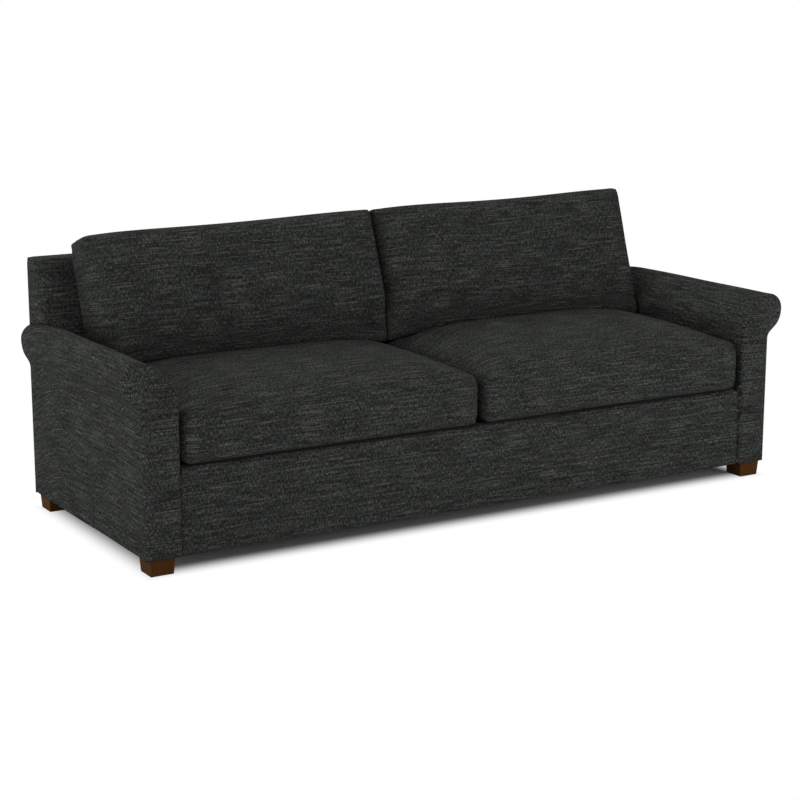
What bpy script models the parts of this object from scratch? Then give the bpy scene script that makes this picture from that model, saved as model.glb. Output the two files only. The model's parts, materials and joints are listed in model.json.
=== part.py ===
# Two-seat sofa with small rolled arms, loose seat and back cushions and four block legs.
# Metres, +Z up. X runs along the sofa, the front faces -Y, the floor is z = 0, and the origin
# is under the middle of the sofa.

import math

import bmesh
import bpy
from mathutils import Vector

# Overall sizes
WIDTH = 2.300               # across the outsides of the arms, under their rolls
DEPTH = 0.906               # arm fronts to the outside back
LEG_HEIGHT = 0.049          # floor to the underside of the upholstery
SEAM_GAP = 0.0003           # between pieces that touch

# Arms
ARM_THICKNESS = 0.108
ARM_HEIGHT = 0.627
SHOULDER_DROP = 0.107       # height of the inner shoulder's curve
ROLL_RADIUS = 0.0475
ROLL_LOWER_RADIUS = 0.073   # height of the roll's lower arc, which hangs deeper
ROLL_PROUD = 0.0527         # how far the roll stands out from the arm's outside
ROLL_FOOT_RUN = 0.0205      # from the end of the roll's arc down to the arm's outside
REAR_ARM_DROP = 0.024       # the roll is drawn in at its rear end
REAR_ROLL_RADIUS = 0.048
REAR_ROLL_LOWER_RADIUS = 0.076
REAR_ROLL_PROUD = 0.0255
REAR_ROLL_FOOT_RUN = 0.0160
ROLL_TAPER_LENGTH = 0.300   # the stretch before the rear end in which it is drawn in
ROLL_LOWER_TURN_DEG = 70.0  # how far the roll's arc goes below level
REAR_ROLL_LOWER_TURN_DEG = 50.0
ARM_PANEL = 0.013           # thickness and edge rounding of the padded front panel
PANEL_FOOT_SHARE = 0.3      # the panel's foot is rounded less than its other edges

# Covers
COVER = 0.005               # upholstery fabric with its wadding
CUSHION_FABRIC = 0.0025
BACK_PANEL = 0.004
DUST_COVER = 0.001
DECK_CLOTH = 0.0015

# Front rail, deck and seat frame
RAIL_SETBACK = 0.0129       # front rail's cover behind the arm fronts
RAIL_COVER_TOP = 0.310
RAIL_EDGE_RADIUS = 0.012
EDGE_ROLL_WIDTH = 0.0148
RAIL_TOP = 0.280
FRONT_RAIL_THICKNESS = 0.030
BOARD = 0.025               # thickness of the frame's boards
FRAME_EDGE = 0.003          # eased edges of the rails
SPRING_RAIL_HEIGHT = 0.080
SPRING_RAIL_LAP = 0.015     # the spring rail under the feet of the back posts
SIDE_RAIL_HEIGHT = 0.100
STRETCHER_HEIGHT = 0.130
STRETCHER_SCOOP = 0.050
DECK_PAD = 0.017

# Arm frame
ARM_RAIL_THICKNESS = 0.022
ARM_RAIL_DROP = 0.145       # from the arm's top to the top of its rail
TACK_RAIL_SHARE = 0.4       # its height, of the opening under the arm's rail
TACK_RAIL_THICKNESS = 0.018
TACK_RAIL_LIFT = 0.012      # above the hem of the inside arm
CORNER_BLOCK_HEIGHT = 0.040
CORNER_CUT_SHARES = (1 / 3, 0.6)    # cut corner of a block, across and along

# Back
BACK_HEIGHT = 0.816
BACK_TOP_THICKNESS = 0.071
BACK_LEAN_DEG = 19.5
BACK_EDGE_RADIUS = 0.012
BACK_SIDE_INSET = 0.002     # side of the back behind the arm's outside
BACK_PAD = 0.020
BACK_PANEL_EDGE = 0.0016
TOP_RAIL_HEIGHT = 0.055
LOWER_RAIL_LIFT = 0.020     # above the deck
LOWER_RAIL_HEIGHT = 0.060
LOWER_RAIL_DEPTH = 0.022
WEBBING = 0.002
STRAP_WIDTH = 0.050

# Seat springs
WIRE = 0.0038
SPRING_WIDTH = 0.048
SPRING_CROWN = 0.0080
SPRING_BEARING = 0.010      # spring end from the inner edge of its rail
SPRING_TAIL_SHARE = 0.2     # last bar of a spring, of half its straight run
TIE_SHARES = (1 / 3, 2 / 3)     # places of the tie wires along the springs
TIE_WIRE = 0.0026

# Legs
LEG_BOTTOM = 0.0730
LEG_TOP = 0.0800
LEG_SIDE_INSET = 0.0160     # foot of the leg from the arm's outside
LEG_FRONT_INSET = 0.0170    # foot of the leg from the arm's front
LEG_EDGE = 0.0025
LEG_CUT_CLEARANCE = 0.001   # dust cover round a leg
BOLT_RADIUS = 0.004
BOLT_CHAMFER = 0.001
BOLT_IN_LEG = 0.027
BOLT_IN_BLOCK = 0.034

# Seat cushions
SEAT_THICKNESS = 0.164      # at the top panel's seam
SEAT_CROWN = 0.058
SEAT_REST = 0.024           # what is left of the crown under the back cushion
SEAT_TOP_RADIUS = 0.034
SEAT_SIDE_RADIUS = 0.030
SEAT_FOOT_RADIUS = 0.016
SEAT_CORNER_RADIUS = 0.036
SEAT_SIDE_BULGE = 0.0045
SEAT_DRAW = 0.006           # how far the seams pull in between the corners
CUSHION_SPLIT = 0.003       # between the left and right cushions
CUSHION_ARM_CLEARANCE = 0.0020
REST_BLEND_SHARE = 0.24     # of half the depth, where the crown runs into the flat rest

# Back cushions
BACK_CUSHION_HEIGHT = 0.375     # along the inside back, where it is lowest
BACK_CUSHION_THICKNESS = 0.172
BACK_CUSHION_TOP_THICKNESS = 0.150
BACK_CUSHION_CROWN = 0.022
BACK_CUSHION_EDGE_RADIUS = 0.034
BACK_CUSHION_SIDE_RADIUS = 0.022
BACK_CUSHION_FOOT_RADIUS = 0.024
BACK_CUSHION_CORNER_RADIUS = 0.034
BACK_CUSHION_LOW_CORNER_RADIUS = 0.030
BACK_CUSHION_BULGE = 0.006
BACK_CUSHION_DRAW = 0.007
CORE_CLEARANCE = 0.0070     # foam core inside the curved walls of its cover

# Cutters run this far past what they cut
OVERRUN = 0.020

# Counts
SHOULDER_STEPS = 7
ROLL_STEPS = 9
PANEL_STEPS = 3
TAPER_STEPS = 4
ROUND_STEPS = 16
BEND_STEPS = 3
SPRINGS_PER_SEAT = 6
SPRING_BARS = 18
STRAPS = 8
ZIP_END_STEPS = 2           # cells of a cover's wall beyond each end of its zip
SHOULDER_POWER = 1.5        # 2 gives an ellipse, less gives a flatter slope
CROWN_POWER = 4             # the higher, the flatter the middle of a panel
DRAW_POWER = 6
COVER_DIVISIONS = (12, 9, 3)
CORE_DIVISIONS = (6, 5, 2)

# Places that follow from the sizes
HALF_WIDTH = WIDTH / 2
FRONT = -DEPTH / 2
REAR = DEPTH / 2
ARM_INNER = HALF_WIDTH - ARM_THICKNESS
ARM_COVER_FRONT = FRONT + ARM_PANEL + SEAM_GAP
FRAME_REAR = REAR - BACK_PANEL - SEAM_GAP
FRAME_BOTTOM = LEG_HEIGHT + DUST_COVER + SEAM_GAP
RAIL_FACE = FRONT + RAIL_SETBACK
FRAME_FRONT = RAIL_FACE + COVER + SEAM_GAP
DECK_HEIGHT = RAIL_COVER_TOP + SEAM_GAP + DECK_CLOTH
INNER_HEM = RAIL_COVER_TOP + SEAM_GAP
LEAN = math.radians(BACK_LEAN_DEG)
BACK_FRONT_TOP = REAR - BACK_TOP_THICKNESS
PAD_LAYER = COVER + SEAM_GAP
WEB_LAYER = PAD_LAYER + BACK_PAD + SEAM_GAP
FRAME_LAYER = WEB_LAYER + WEBBING + SEAM_GAP


def back_y(z, layer=0):
    """Y of the leaning inside back at height z, or of a plane that lies a layer behind it."""
    return BACK_FRONT_TOP - (BACK_HEIGHT - z) * math.tan(LEAN) + layer / math.cos(LEAN)


POST_FOOT_FRONT = back_y(RAIL_TOP + SEAM_GAP, FRAME_LAYER)
SPRING_RAIL_BACK = POST_FOOT_FRONT + SPRING_RAIL_LAP
SPRING_RAIL_FRONT = SPRING_RAIL_BACK - BOARD
DECK_BACK = POST_FOOT_FRONT - SEAM_GAP
REAR_BOARD_FRONT = FRAME_REAR - COVER - SEAM_GAP - BOARD
REAR_ARM_HEIGHT = ARM_HEIGHT - REAR_ARM_DROP
ARM_FORM = (ARM_HEIGHT, ROLL_RADIUS, ROLL_LOWER_RADIUS, ROLL_PROUD, ROLL_FOOT_RUN,
            ROLL_LOWER_TURN_DEG)
REAR_ARM_FORM = (REAR_ARM_HEIGHT, REAR_ROLL_RADIUS, REAR_ROLL_LOWER_RADIUS, REAR_ROLL_PROUD,
                 REAR_ROLL_FOOT_RUN, REAR_ROLL_LOWER_TURN_DEG)
SEAT_FOOT = DECK_HEIGHT + SEAM_GAP
SEAT_REST_HEIGHT = SEAT_FOOT + SEAT_THICKNESS + SEAT_REST
LEG_X = HALF_WIDTH - LEG_SIDE_INSET - LEG_BOTTOM / 2
LEG_Y = REAR - LEG_FRONT_INSET - LEG_BOTTOM / 2


# Materials

def material(name, colour, roughness, metallic=0.0):
    made = bpy.data.materials.new(name)
    made.use_nodes = True
    shader = made.node_tree.nodes["Principled BSDF"]
    shader.inputs["Base Color"].default_value = (*colour, 1.0)
    shader.inputs["Roughness"].default_value = roughness
    shader.inputs["Metallic"].default_value = metallic
    return made


def make_materials():
    return {
        "fabric": material("charcoal_fabric", (0.028, 0.030, 0.0275), 0.9),
        "leg_wood": material("dark_leg_wood", (0.085, 0.028, 0.010), 0.45),
        "frame_wood": material("frame_wood", (0.56, 0.40, 0.24), 0.7),
        "plywood": material("plywood", (0.62, 0.47, 0.30), 0.7),
        "foam": material("foam", (0.78, 0.74, 0.60), 0.95),
        "fibre": material("fibre_pad", (0.60, 0.60, 0.58), 0.95),
        "webbing": material("webbing", (0.42, 0.33, 0.22), 0.9),
        "lining": material("black_lining", (0.015, 0.015, 0.016), 0.95),
        "spring_steel": material("spring_steel", (0.35, 0.35, 0.36), 0.35, 1.0),
        "zinc": material("zinc_steel", (0.62, 0.63, 0.65), 0.35, 1.0),
        "zip": material("zip_tape", (0.03, 0.03, 0.03), 0.6),
    }


# Mesh helpers

def add_object(name, vertices, faces, surface):
    """A closed mesh object with its faces turned outwards."""
    mesh = bpy.data.meshes.new(name)
    mesh.from_pydata([tuple(v) for v in vertices], [], faces)
    shape = bmesh.new()
    shape.from_mesh(mesh)
    bmesh.ops.recalc_face_normals(shape, faces=shape.faces)
    shape.to_mesh(mesh)
    shape.free()
    mesh.materials.append(surface)
    made = bpy.data.objects.new(name, mesh)
    bpy.context.scene.collection.objects.link(made)
    return made


def add_guide(name, vertices, faces):
    """A cutter: never rendered, shown as wire."""
    guide = add_object(name, vertices, faces, SURFACES["frame_wood"])
    guide.hide_render = True
    guide.display_type = "WIRE"
    return guide


def combine(made, other, operation):
    step = made.modifiers.new(operation.lower(), "BOOLEAN")
    step.operation = operation
    step.solver = "EXACT"
    step.object = other
    return made


def round_edges(made, width, segments=2):
    step = made.modifiers.new("rounding", "BEVEL")
    step.width = width
    step.segments = segments
    step.limit_method = "ANGLE"
    step.angle_limit = math.radians(35)
    return made


def smooth(made):
    made.data.shade_smooth()
    made.data.set_sharp_from_angle(angle=math.radians(40))
    return made


def loft(rings, twisted=False):
    """Vertices and faces of a solid through rings of equal length, with flat ends.

    Twisted quads are split along one diagonal, so that solids nested in each other match.
    """
    count = len(rings[0])
    vertices = [v for ring in rings for v in ring]
    faces = [list(range(count))[::-1], [count * (len(rings) - 1) + i for i in range(count)]]
    for r in range(len(rings) - 1):
        low, high = r * count, (r + 1) * count
        for i in range(count):
            j = (i + 1) % count
            if twisted:
                faces.append([low + i, low + j, high + j])
                faces.append([low + i, high + j, high + i])
            else:
                faces.append([low + i, low + j, high + j, high + i])
    return vertices, faces


def prism_x(outline, x0, x1):
    """A (y, z) outline carried along X."""
    return loft([[(x0, y, z) for y, z in outline], [(x1, y, z) for y, z in outline]])


def prism_z(outline, z0, z1):
    """An (x, y) outline carried up Z."""
    return loft([[(x, y, z0) for x, y in outline], [(x, y, z1) for x, y in outline]])


def box(x0, x1, y0, y1, z0, z1):
    return prism_z([(x0, y0), (x1, y0), (x1, y1), (x0, y1)], z0, z1)


def mirrored(vertices, side):
    return [(side * x, y, z) for x, y, z in vertices]


def cell_sheet(xs, ss, keep, place, normal):
    """A flat sheet with openings: the cells of a grid that keep(i, j) accepts, given a wall.

    place(x, s) puts a grid point in space, and normal is the wall's thickness as a vector.
    """
    columns, rows = len(xs), len(ss)
    cells = [(i, j) for i in range(columns - 1) for j in range(rows - 1) if keep(i, j)]
    low = {}
    vertices = []
    for i, j in cells:
        for corner in ((i, j), (i + 1, j), (i + 1, j + 1), (i, j + 1)):
            if corner not in low:
                low[corner] = len(vertices)
                point = Vector(place(xs[corner[0]], ss[corner[1]]))
                vertices += [point, point + normal]
    faces = []
    edges = {}
    for i, j in cells:
        ring = [low[c] for c in ((i, j), (i + 1, j), (i + 1, j + 1), (i, j + 1))]
        faces.append(ring[::-1])
        faces.append([v + 1 for v in ring])
        for a, b in zip(ring, ring[1:] + ring[:1]):
            edges[frozenset((a, b))] = None if frozenset((a, b)) in edges else (a, b)
    for edge in edges.values():
        if edge:
            a, b = edge
            faces.append([a, b, b + 1, a + 1])
    return vertices, faces


def tube(points, radius, up):
    """A four-sided tube along points, with flat ends; up is never along the path."""
    rings = []
    for i, point in enumerate(points):
        before = points[max(i - 1, 0)]
        after = points[min(i + 1, len(points) - 1)]
        ahead = (after - before).normalized()
        side = ahead.cross(up).normalized()
        top = side.cross(ahead).normalized()
        ways = (side, top, -side, -top)
        rings.append([point + radius * way for way in ways])
    return loft(rings)


def joined(parts):
    vertices = []
    faces = []
    for more_vertices, more_faces in parts:
        start = len(vertices)
        vertices += more_vertices
        faces += [[start + i for i in face] for face in more_faces]
    return vertices, faces


# Arm section

def mix(a, b, share):
    return a + (b - a) * share


def taper_share(y):
    """0 along the straight arm, rising to 1 at its rear end as the roll is drawn in: the
    square of the way along the taper, straight between its steps."""
    along = (y - (FRAME_REAR - ROLL_TAPER_LENGTH)) / ROLL_TAPER_LENGTH
    steps = max(0.0, min(1.0, along)) * TAPER_STEPS
    low = min(int(steps), TAPER_STEPS - 1)
    return mix(low ** 2, (low + 1) ** 2, steps - low) / TAPER_STEPS ** 2


def arm_outline(form, inset, bottom):
    """Outline (x, z) of the right arm: up the inner face, over the shoulder's quarter of a
    flattened ellipse, round the roll's upper and lower arcs, in to the outside and down. inset
    moves it inwards."""
    top, radius, lower_radius, proud, foot_run, turn_deg = form
    centre_x = HALF_WIDTH + proud - radius
    centre_z = top - radius
    turn = math.radians(turn_deg)
    reach = centre_x - ARM_INNER
    points = [(ARM_INNER + inset, bottom)]
    for i in range(SHOULDER_STEPS + 1):
        angle = math.pi / 2 * i / SHOULDER_STEPS
        across = max(0.0, math.cos(angle)) ** (2 / SHOULDER_POWER)
        up = math.sin(angle) ** (2 / SHOULDER_POWER)
        points.append((centre_x - (reach - inset) * across,
                       top - SHOULDER_DROP + (SHOULDER_DROP - inset) * up))
    for i in range(1, ROLL_STEPS + 1):
        angle = math.pi / 2 - (math.pi / 2 + turn) * i / ROLL_STEPS
        height = radius if angle > 0 else lower_radius
        points.append((centre_x + (radius - inset) * math.cos(angle),
                       centre_z + (height - inset) * math.sin(angle)))
    run_x = centre_x + radius * math.cos(turn) - HALF_WIDTH
    foot = centre_z - lower_radius * math.sin(turn) - foot_run
    lift = inset * math.tan(math.atan2(run_x, foot_run) / 2)
    points.append((HALF_WIDTH - inset, foot + lift))
    points.append((HALF_WIDTH - inset, bottom))
    return points


def arm_section(y, inset=0.0, bottom=LEG_HEIGHT):
    """The arm's outline at y, between its full form and the one at its rear end."""
    full = arm_outline(ARM_FORM, inset, bottom)
    drawn_in = arm_outline(REAR_ARM_FORM, inset, bottom)
    share = taper_share(y)
    return [(mix(x0, x1, share), mix(z0, z1, share)) for (x0, z0), (x1, z1) in zip(full, drawn_in)]


def arm_stations(y0, y1):
    """Places along the arm for its sections: its ends, the taper's steps and the rear board."""
    inner = [FRAME_REAR - ROLL_TAPER_LENGTH * (1 - i / TAPER_STEPS) for i in range(TAPER_STEPS)]
    inner.append(REAR_BOARD_FRONT)
    return [y0] + [y for y in inner if y0 + OVERRUN < y < y1 - OVERRUN] + [y1]


def arm_solid(y0, y1, inset=0.0, bottom=LEG_HEIGHT, past=0.0):
    """The arm's form between two places, or on past its end in the last stretch's direction."""
    rings = [[(x, y, z) for x, z in arm_section(y, inset, bottom)] for y in arm_stations(y0, y1)]
    if past:
        share = past / (rings[-1][0][1] - rings[-2][0][1])
        rings[-1] = [tuple(mix(a, b, 1 + share) for a, b in zip(before, after))
                     for before, after in zip(rings[-2], rings[-1])]
    return loft(rings, True)


def rail_top(y):
    return mix(ARM_HEIGHT, REAR_ARM_HEIGHT, taper_share(y)) - ARM_RAIL_DROP


def build_arm(side, word):
    fabric = SURFACES["fabric"]
    hollow = COVER + SEAM_GAP
    wall_back = FRAME_REAR - COVER

    # Front panel: the full section, its edge rounded forwards
    rings = []
    for i in range(PANEL_STEPS + 1):
        angle = math.pi / 2 * i / PANEL_STEPS
        inset = ARM_PANEL * (1 - math.cos(angle))
        y = FRONT + ARM_PANEL * (1 - math.sin(angle))
        section = arm_section(FRONT, inset, LEG_HEIGHT + inset * PANEL_FOOT_SHARE)
        rings.append([(x, y, z) for x, z in section])
    vertices, faces = loft(rings)
    smooth(add_object(word + "_arm_front_panel", mirrored(vertices, side), faces, fabric))

    # Cover: one wrap over the inside, the roll, the outside and the rear of the arm
    vertices, faces = arm_solid(ARM_COVER_FRONT, FRAME_REAR)
    cover = add_object(word + "_arm_cover", mirrored(vertices, side), faces, fabric)
    vertices, faces = arm_solid(ARM_COVER_FRONT - OVERRUN, wall_back, COVER, LEG_HEIGHT - OVERRUN)
    inside = add_guide(word + "_arm_hollow", mirrored(vertices, side), faces)
    combine(cover, inside, "DIFFERENCE")
    vertices, faces = box(ARM_INNER - OVERRUN, ARM_INNER + COVER + SEAM_GAP,
                          RAIL_FACE + COVER, FRAME_REAR + OVERRUN, LEG_HEIGHT - OVERRUN, INNER_HEM)
    hem = add_guide(word + "_arm_hem_cut", mirrored(vertices, side), faces)
    combine(cover, hem, "DIFFERENCE")
    smooth(cover)

    # Shaped boards at the two ends
    board_front = ARM_COVER_FRONT
    for name, y0, y1 in (("_arm_front_board", board_front, board_front + BOARD),
                         ("_arm_rear_board", REAR_BOARD_FRONT, REAR_BOARD_FRONT + BOARD)):
        rings = [[(x, y, z) for x, z in arm_section(y, hollow, FRAME_BOTTOM)] for y in (y0, y1)]
        vertices, faces = loft(rings)
        add_object(word + name, mirrored(vertices, side), faces, SURFACES["plywood"])

    # Rails between the boards
    run0 = board_front + BOARD + SEAM_GAP
    run1 = REAR_BOARD_FRONT - SEAM_GAP
    inner = ARM_INNER + hollow
    outer = HALF_WIDTH - hollow
    rings = []
    for y in (run0, run1):
        top = rail_top(y)
        rings.append([(inner, y, top - ARM_RAIL_THICKNESS), (outer, y, top - ARM_RAIL_THICKNESS),
                      (outer, y, top), (inner, y, top)])
    vertices, faces = loft(rings)
    add_object(word + "_arm_top_rail", mirrored(vertices, side), faces, SURFACES["frame_wood"])
    tack0 = INNER_HEM + TACK_RAIL_LIFT
    tack1 = mix(tack0, rail_top(run1) - ARM_RAIL_THICKNESS, TACK_RAIL_SHARE)
    vertices, faces = box(inner, inner + TACK_RAIL_THICKNESS, run0, run1, tack0, tack1)
    add_object(word + "_arm_tack_rail", mirrored(vertices, side), faces, SURFACES["frame_wood"])
    vertices, faces = box(outer - BOARD, outer, run0, run1,
                          FRAME_BOTTOM, FRAME_BOTTOM + SIDE_RAIL_HEIGHT)
    add_object(word + "_side_rail", mirrored(vertices, side), faces, SURFACES["frame_wood"])

    # Foam over the arm's rail, filling the shoulder and the roll
    rings = []
    for y in arm_stations(run0, run1):
        floor = mix(rail_top(run0), rail_top(run1), (y - run0) / (run1 - run0)) + SEAM_GAP
        section = arm_section(y, hollow, floor)
        rings.append([(x, y, z) for x, z in section])
    vertices, faces = loft(rings, True)
    add_object(word + "_arm_pad", mirrored(vertices, side), faces, SURFACES["foam"])


# Seat frame

def build_seat_frame():
    wood = SURFACES["frame_wood"]
    rail_end = ARM_INNER + COVER
    vertices, faces = box(-rail_end, rail_end, FRAME_FRONT, FRAME_FRONT + FRONT_RAIL_THICKNESS,
                          FRAME_BOTTOM, RAIL_TOP)
    round_edges(add_object("front_seat_rail", vertices, faces, wood), FRAME_EDGE, 1)
    vertices, faces = box(-rail_end, rail_end, FRAME_REAR - BOARD, FRAME_REAR,
                          FRAME_BOTTOM, RAIL_TOP)
    round_edges(add_object("rear_seat_rail", vertices, faces, wood), FRAME_EDGE, 1)
    spring_end = HALF_WIDTH - COVER - SEAM_GAP - BOARD - SEAM_GAP
    vertices, faces = box(-spring_end, spring_end, SPRING_RAIL_FRONT, SPRING_RAIL_BACK,
                          RAIL_TOP - SPRING_RAIL_HEIGHT, RAIL_TOP)
    round_edges(add_object("rear_spring_rail", vertices, faces, wood), FRAME_EDGE, 1)

    # Middle stretcher, front rail to rear rail, scooped for the springs and notched under
    # the spring rail
    y0 = FRAME_FRONT + FRONT_RAIL_THICKNESS + SEAM_GAP
    y1 = FRAME_REAR - BOARD - SEAM_GAP
    top = FRAME_BOTTOM + STRETCHER_HEIGHT
    seat = RAIL_TOP - SPRING_RAIL_HEIGHT - SEAM_GAP
    outline = [(y0, FRAME_BOTTOM), (y1, FRAME_BOTTOM), (y1, seat), (SPRING_RAIL_FRONT, seat)]
    scoop0 = SPRING_RAIL_FRONT - BOARD
    scoop1 = y0 + BOARD
    outline.append((scoop0, seat))
    for i in range(1, SHOULDER_STEPS + 1):
        share = i / (SHOULDER_STEPS + 1)
        outline.append((mix(scoop0, scoop1, share),
                        top - STRETCHER_SCOOP * math.sin(math.pi * share)))
    outline.append((scoop1, seat))
    outline.append((y0, seat))
    vertices, faces = prism_x(outline, -BOARD / 2, BOARD / 2)
    add_object("centre_stretcher", vertices, faces, SURFACES["plywood"])

    # Blocks that hold the leg bolts, in the corners of the base
    for end, end_word in ((-1, "front"), (1, "rear")):
        for side, side_word in ((-1, "left"), (1, "right")):
            build_corner(side, end, side_word + "_" + end_word)


def round_outline(x, y, radius):
    turns = [2 * math.pi * i / ROUND_STEPS for i in range(ROUND_STEPS)]
    return [(x + radius * math.cos(turn), y + radius * math.sin(turn)) for turn in turns]


def build_corner(side, end, word):
    """A leg, its bolt, and the block over it."""
    x, y = side * LEG_X, end * LEG_Y
    hole = BOLT_RADIUS + SEAM_GAP
    leg_top = FRAME_BOTTOM - SEAM_GAP

    inner = ARM_INNER + COVER + SEAM_GAP
    outer = HALF_WIDTH - COVER - SEAM_GAP - BOARD - SEAM_GAP
    if end < 0:
        wall = ARM_COVER_FRONT + BOARD + SEAM_GAP
        near = LEG_Y * end + LEG_TOP / 2
    else:
        wall = REAR_BOARD_FRONT - SEAM_GAP
        near = LEG_Y * end - LEG_TOP / 2
    cut_x = mix(inner, outer, CORNER_CUT_SHARES[0])
    cut_y = mix(wall, near, CORNER_CUT_SHARES[1])
    outline = [(side * outer, wall), (side * inner, wall), (side * inner, cut_y),
               (side * cut_x, near), (side * outer, near)]
    vertices, faces = prism_z(outline, FRAME_BOTTOM, FRAME_BOTTOM + CORNER_BLOCK_HEIGHT)
    block = add_object(word + "_corner_block", vertices, faces, SURFACES["frame_wood"])
    vertices, faces = prism_z(round_outline(x, y, hole), leg_top - BOLT_IN_LEG - SEAM_GAP,
                              FRAME_BOTTOM + CORNER_BLOCK_HEIGHT + OVERRUN)
    bore = add_guide(word + "_bolt_bore", vertices, faces)
    combine(block, bore, "DIFFERENCE")

    rings = []
    for z, half in ((0.0, LEG_BOTTOM / 2), (leg_top, LEG_TOP / 2)):
        rings.append([(x - half, y - half, z), (x + half, y - half, z),
                      (x + half, y + half, z), (x - half, y + half, z)])
    vertices, faces = loft(rings)
    leg = add_object(word + "_leg", vertices, faces, SURFACES["leg_wood"])
    round_edges(leg, LEG_EDGE)
    combine(leg, bore, "DIFFERENCE")

    low = leg_top - BOLT_IN_LEG
    high = FRAME_BOTTOM + BOLT_IN_BLOCK
    rings = []
    for z, radius in ((low, BOLT_RADIUS - BOLT_CHAMFER), (low + BOLT_CHAMFER, BOLT_RADIUS),
                      (high - BOLT_CHAMFER, BOLT_RADIUS), (high, BOLT_RADIUS - BOLT_CHAMFER)):
        rings.append([(px, py, z) for px, py in round_outline(x, y, radius)])
    vertices, faces = loft(rings)
    smooth(add_object(word + "_leg_bolt", vertices, faces, SURFACES["zinc"]))


# Back frame

def leaning_front(layer, foot):
    """Outline (y, z) up the inside back, a layer behind its face, and over its rounded edge."""
    radius = BACK_EDGE_RADIUS - layer
    centre_z = BACK_HEIGHT - layer - radius
    centre_y = back_y(centre_z, layer) + radius / math.cos(LEAN)
    points = [(back_y(foot, layer), foot)]
    for i in range(SHOULDER_STEPS + 1):
        angle = mix(math.pi - LEAN, math.pi / 2, i / SHOULDER_STEPS)
        points.append((centre_y + radius * math.cos(angle), centre_z + radius * math.sin(angle)))
    return points


def build_back_frame():
    wood = SURFACES["frame_wood"]
    top = BACK_HEIGHT - COVER - SEAM_GAP
    top_rail_foot = top - TOP_RAIL_HEIGHT
    lower0 = DECK_HEIGHT + LOWER_RAIL_LIFT
    lower1 = lower0 + LOWER_RAIL_HEIGHT
    post_x = ARM_INNER - SEAM_GAP - COVER - SEAM_GAP - BOARD / 2

    # Posts: leaning front edge, upright rear edge, notched for the lower rail
    foot = RAIL_TOP + SEAM_GAP
    head = top_rail_foot - SEAM_GAP
    notch = LOWER_RAIL_DEPTH + SEAM_GAP
    outline = [(back_y(foot, FRAME_LAYER), foot),
               (back_y(lower0 - SEAM_GAP, FRAME_LAYER), lower0 - SEAM_GAP),
               (back_y(lower0 - SEAM_GAP, FRAME_LAYER) + notch, lower0 - SEAM_GAP),
               (back_y(lower1 + SEAM_GAP, FRAME_LAYER) + notch, lower1 + SEAM_GAP),
               (back_y(lower1 + SEAM_GAP, FRAME_LAYER), lower1 + SEAM_GAP),
               (back_y(head, FRAME_LAYER), head), (FRAME_REAR, head), (FRAME_REAR, foot)]
    for word, x in (("left", -post_x), ("centre", 0.0), ("right", post_x)):
        vertices, faces = prism_x(outline, x - BOARD / 2, x + BOARD / 2)
        add_object(word + "_back_post", vertices, faces, SURFACES["plywood"])

    half = HALF_WIDTH - BACK_SIDE_INSET - COVER - SEAM_GAP
    outline = [(back_y(top_rail_foot, FRAME_LAYER), top_rail_foot), (back_y(top, FRAME_LAYER), top),
               (FRAME_REAR, top), (FRAME_REAR, top_rail_foot)]
    vertices, faces = prism_x(outline, -half, half)
    add_object("top_back_rail", vertices, faces, wood)

    half = post_x + BOARD / 2
    outline = [(back_y(lower0, FRAME_LAYER), lower0), (back_y(lower1, FRAME_LAYER), lower1),
               (back_y(lower1, FRAME_LAYER) + LOWER_RAIL_DEPTH, lower1),
               (back_y(lower0, FRAME_LAYER) + LOWER_RAIL_DEPTH, lower0)]
    vertices, faces = prism_x(outline, -half, half)
    add_object("lower_back_rail", vertices, faces, wood)

    # Webbing over the front of the frame: upright straps and two level ones, in one net
    spacing = 2 * post_x / STRAPS
    xs = []
    for i in range(STRAPS):
        centre = -post_x + spacing * (i + 0.5)
        xs += [centre - STRAP_WIDTH / 2, centre + STRAP_WIDTH / 2]
    xs = [-half] + xs + [half]
    web_foot, web_head = lower0, top - WEBBING
    third = (web_head - web_foot) / 3
    zs = [web_foot, web_foot + third - STRAP_WIDTH / 2, web_foot + third + STRAP_WIDTH / 2,
          web_head - third - STRAP_WIDTH / 2, web_head - third + STRAP_WIDTH / 2, web_head]
    outward = Vector((0, -math.cos(LEAN), math.sin(LEAN))) * WEBBING
    vertices, faces = cell_sheet(xs, zs, lambda i, j: i % 2 == 1 or j % 2 == 1,
                                 lambda x, z: (x, back_y(z, WEB_LAYER + WEBBING), z), outward)
    add_object("back_webbing", vertices, faces, SURFACES["webbing"])

    # Foam pad over the webbing
    pad_foot = DECK_HEIGHT + SEAM_GAP
    half = ARM_INNER - SEAM_GAP - COVER - SEAM_GAP
    outline = leaning_front(PAD_LAYER, pad_foot)
    outline += [(back_y(z, PAD_LAYER + BACK_PAD), z) for z in (top, pad_foot)]
    vertices, faces = prism_x(outline, -half, half)
    add_object("back_pad", vertices, faces, SURFACES["foam"])


# Covers of the back, the front rail, the deck and the underside

def back_block(layer, foot, rear, half):
    """The leaning block of the back, a layer in from its outside, with a rounded top edge."""
    front = leaning_front(layer, foot)
    return prism_x([(rear, foot)] + front + [(rear, BACK_HEIGHT - layer)], -half, half)


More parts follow.
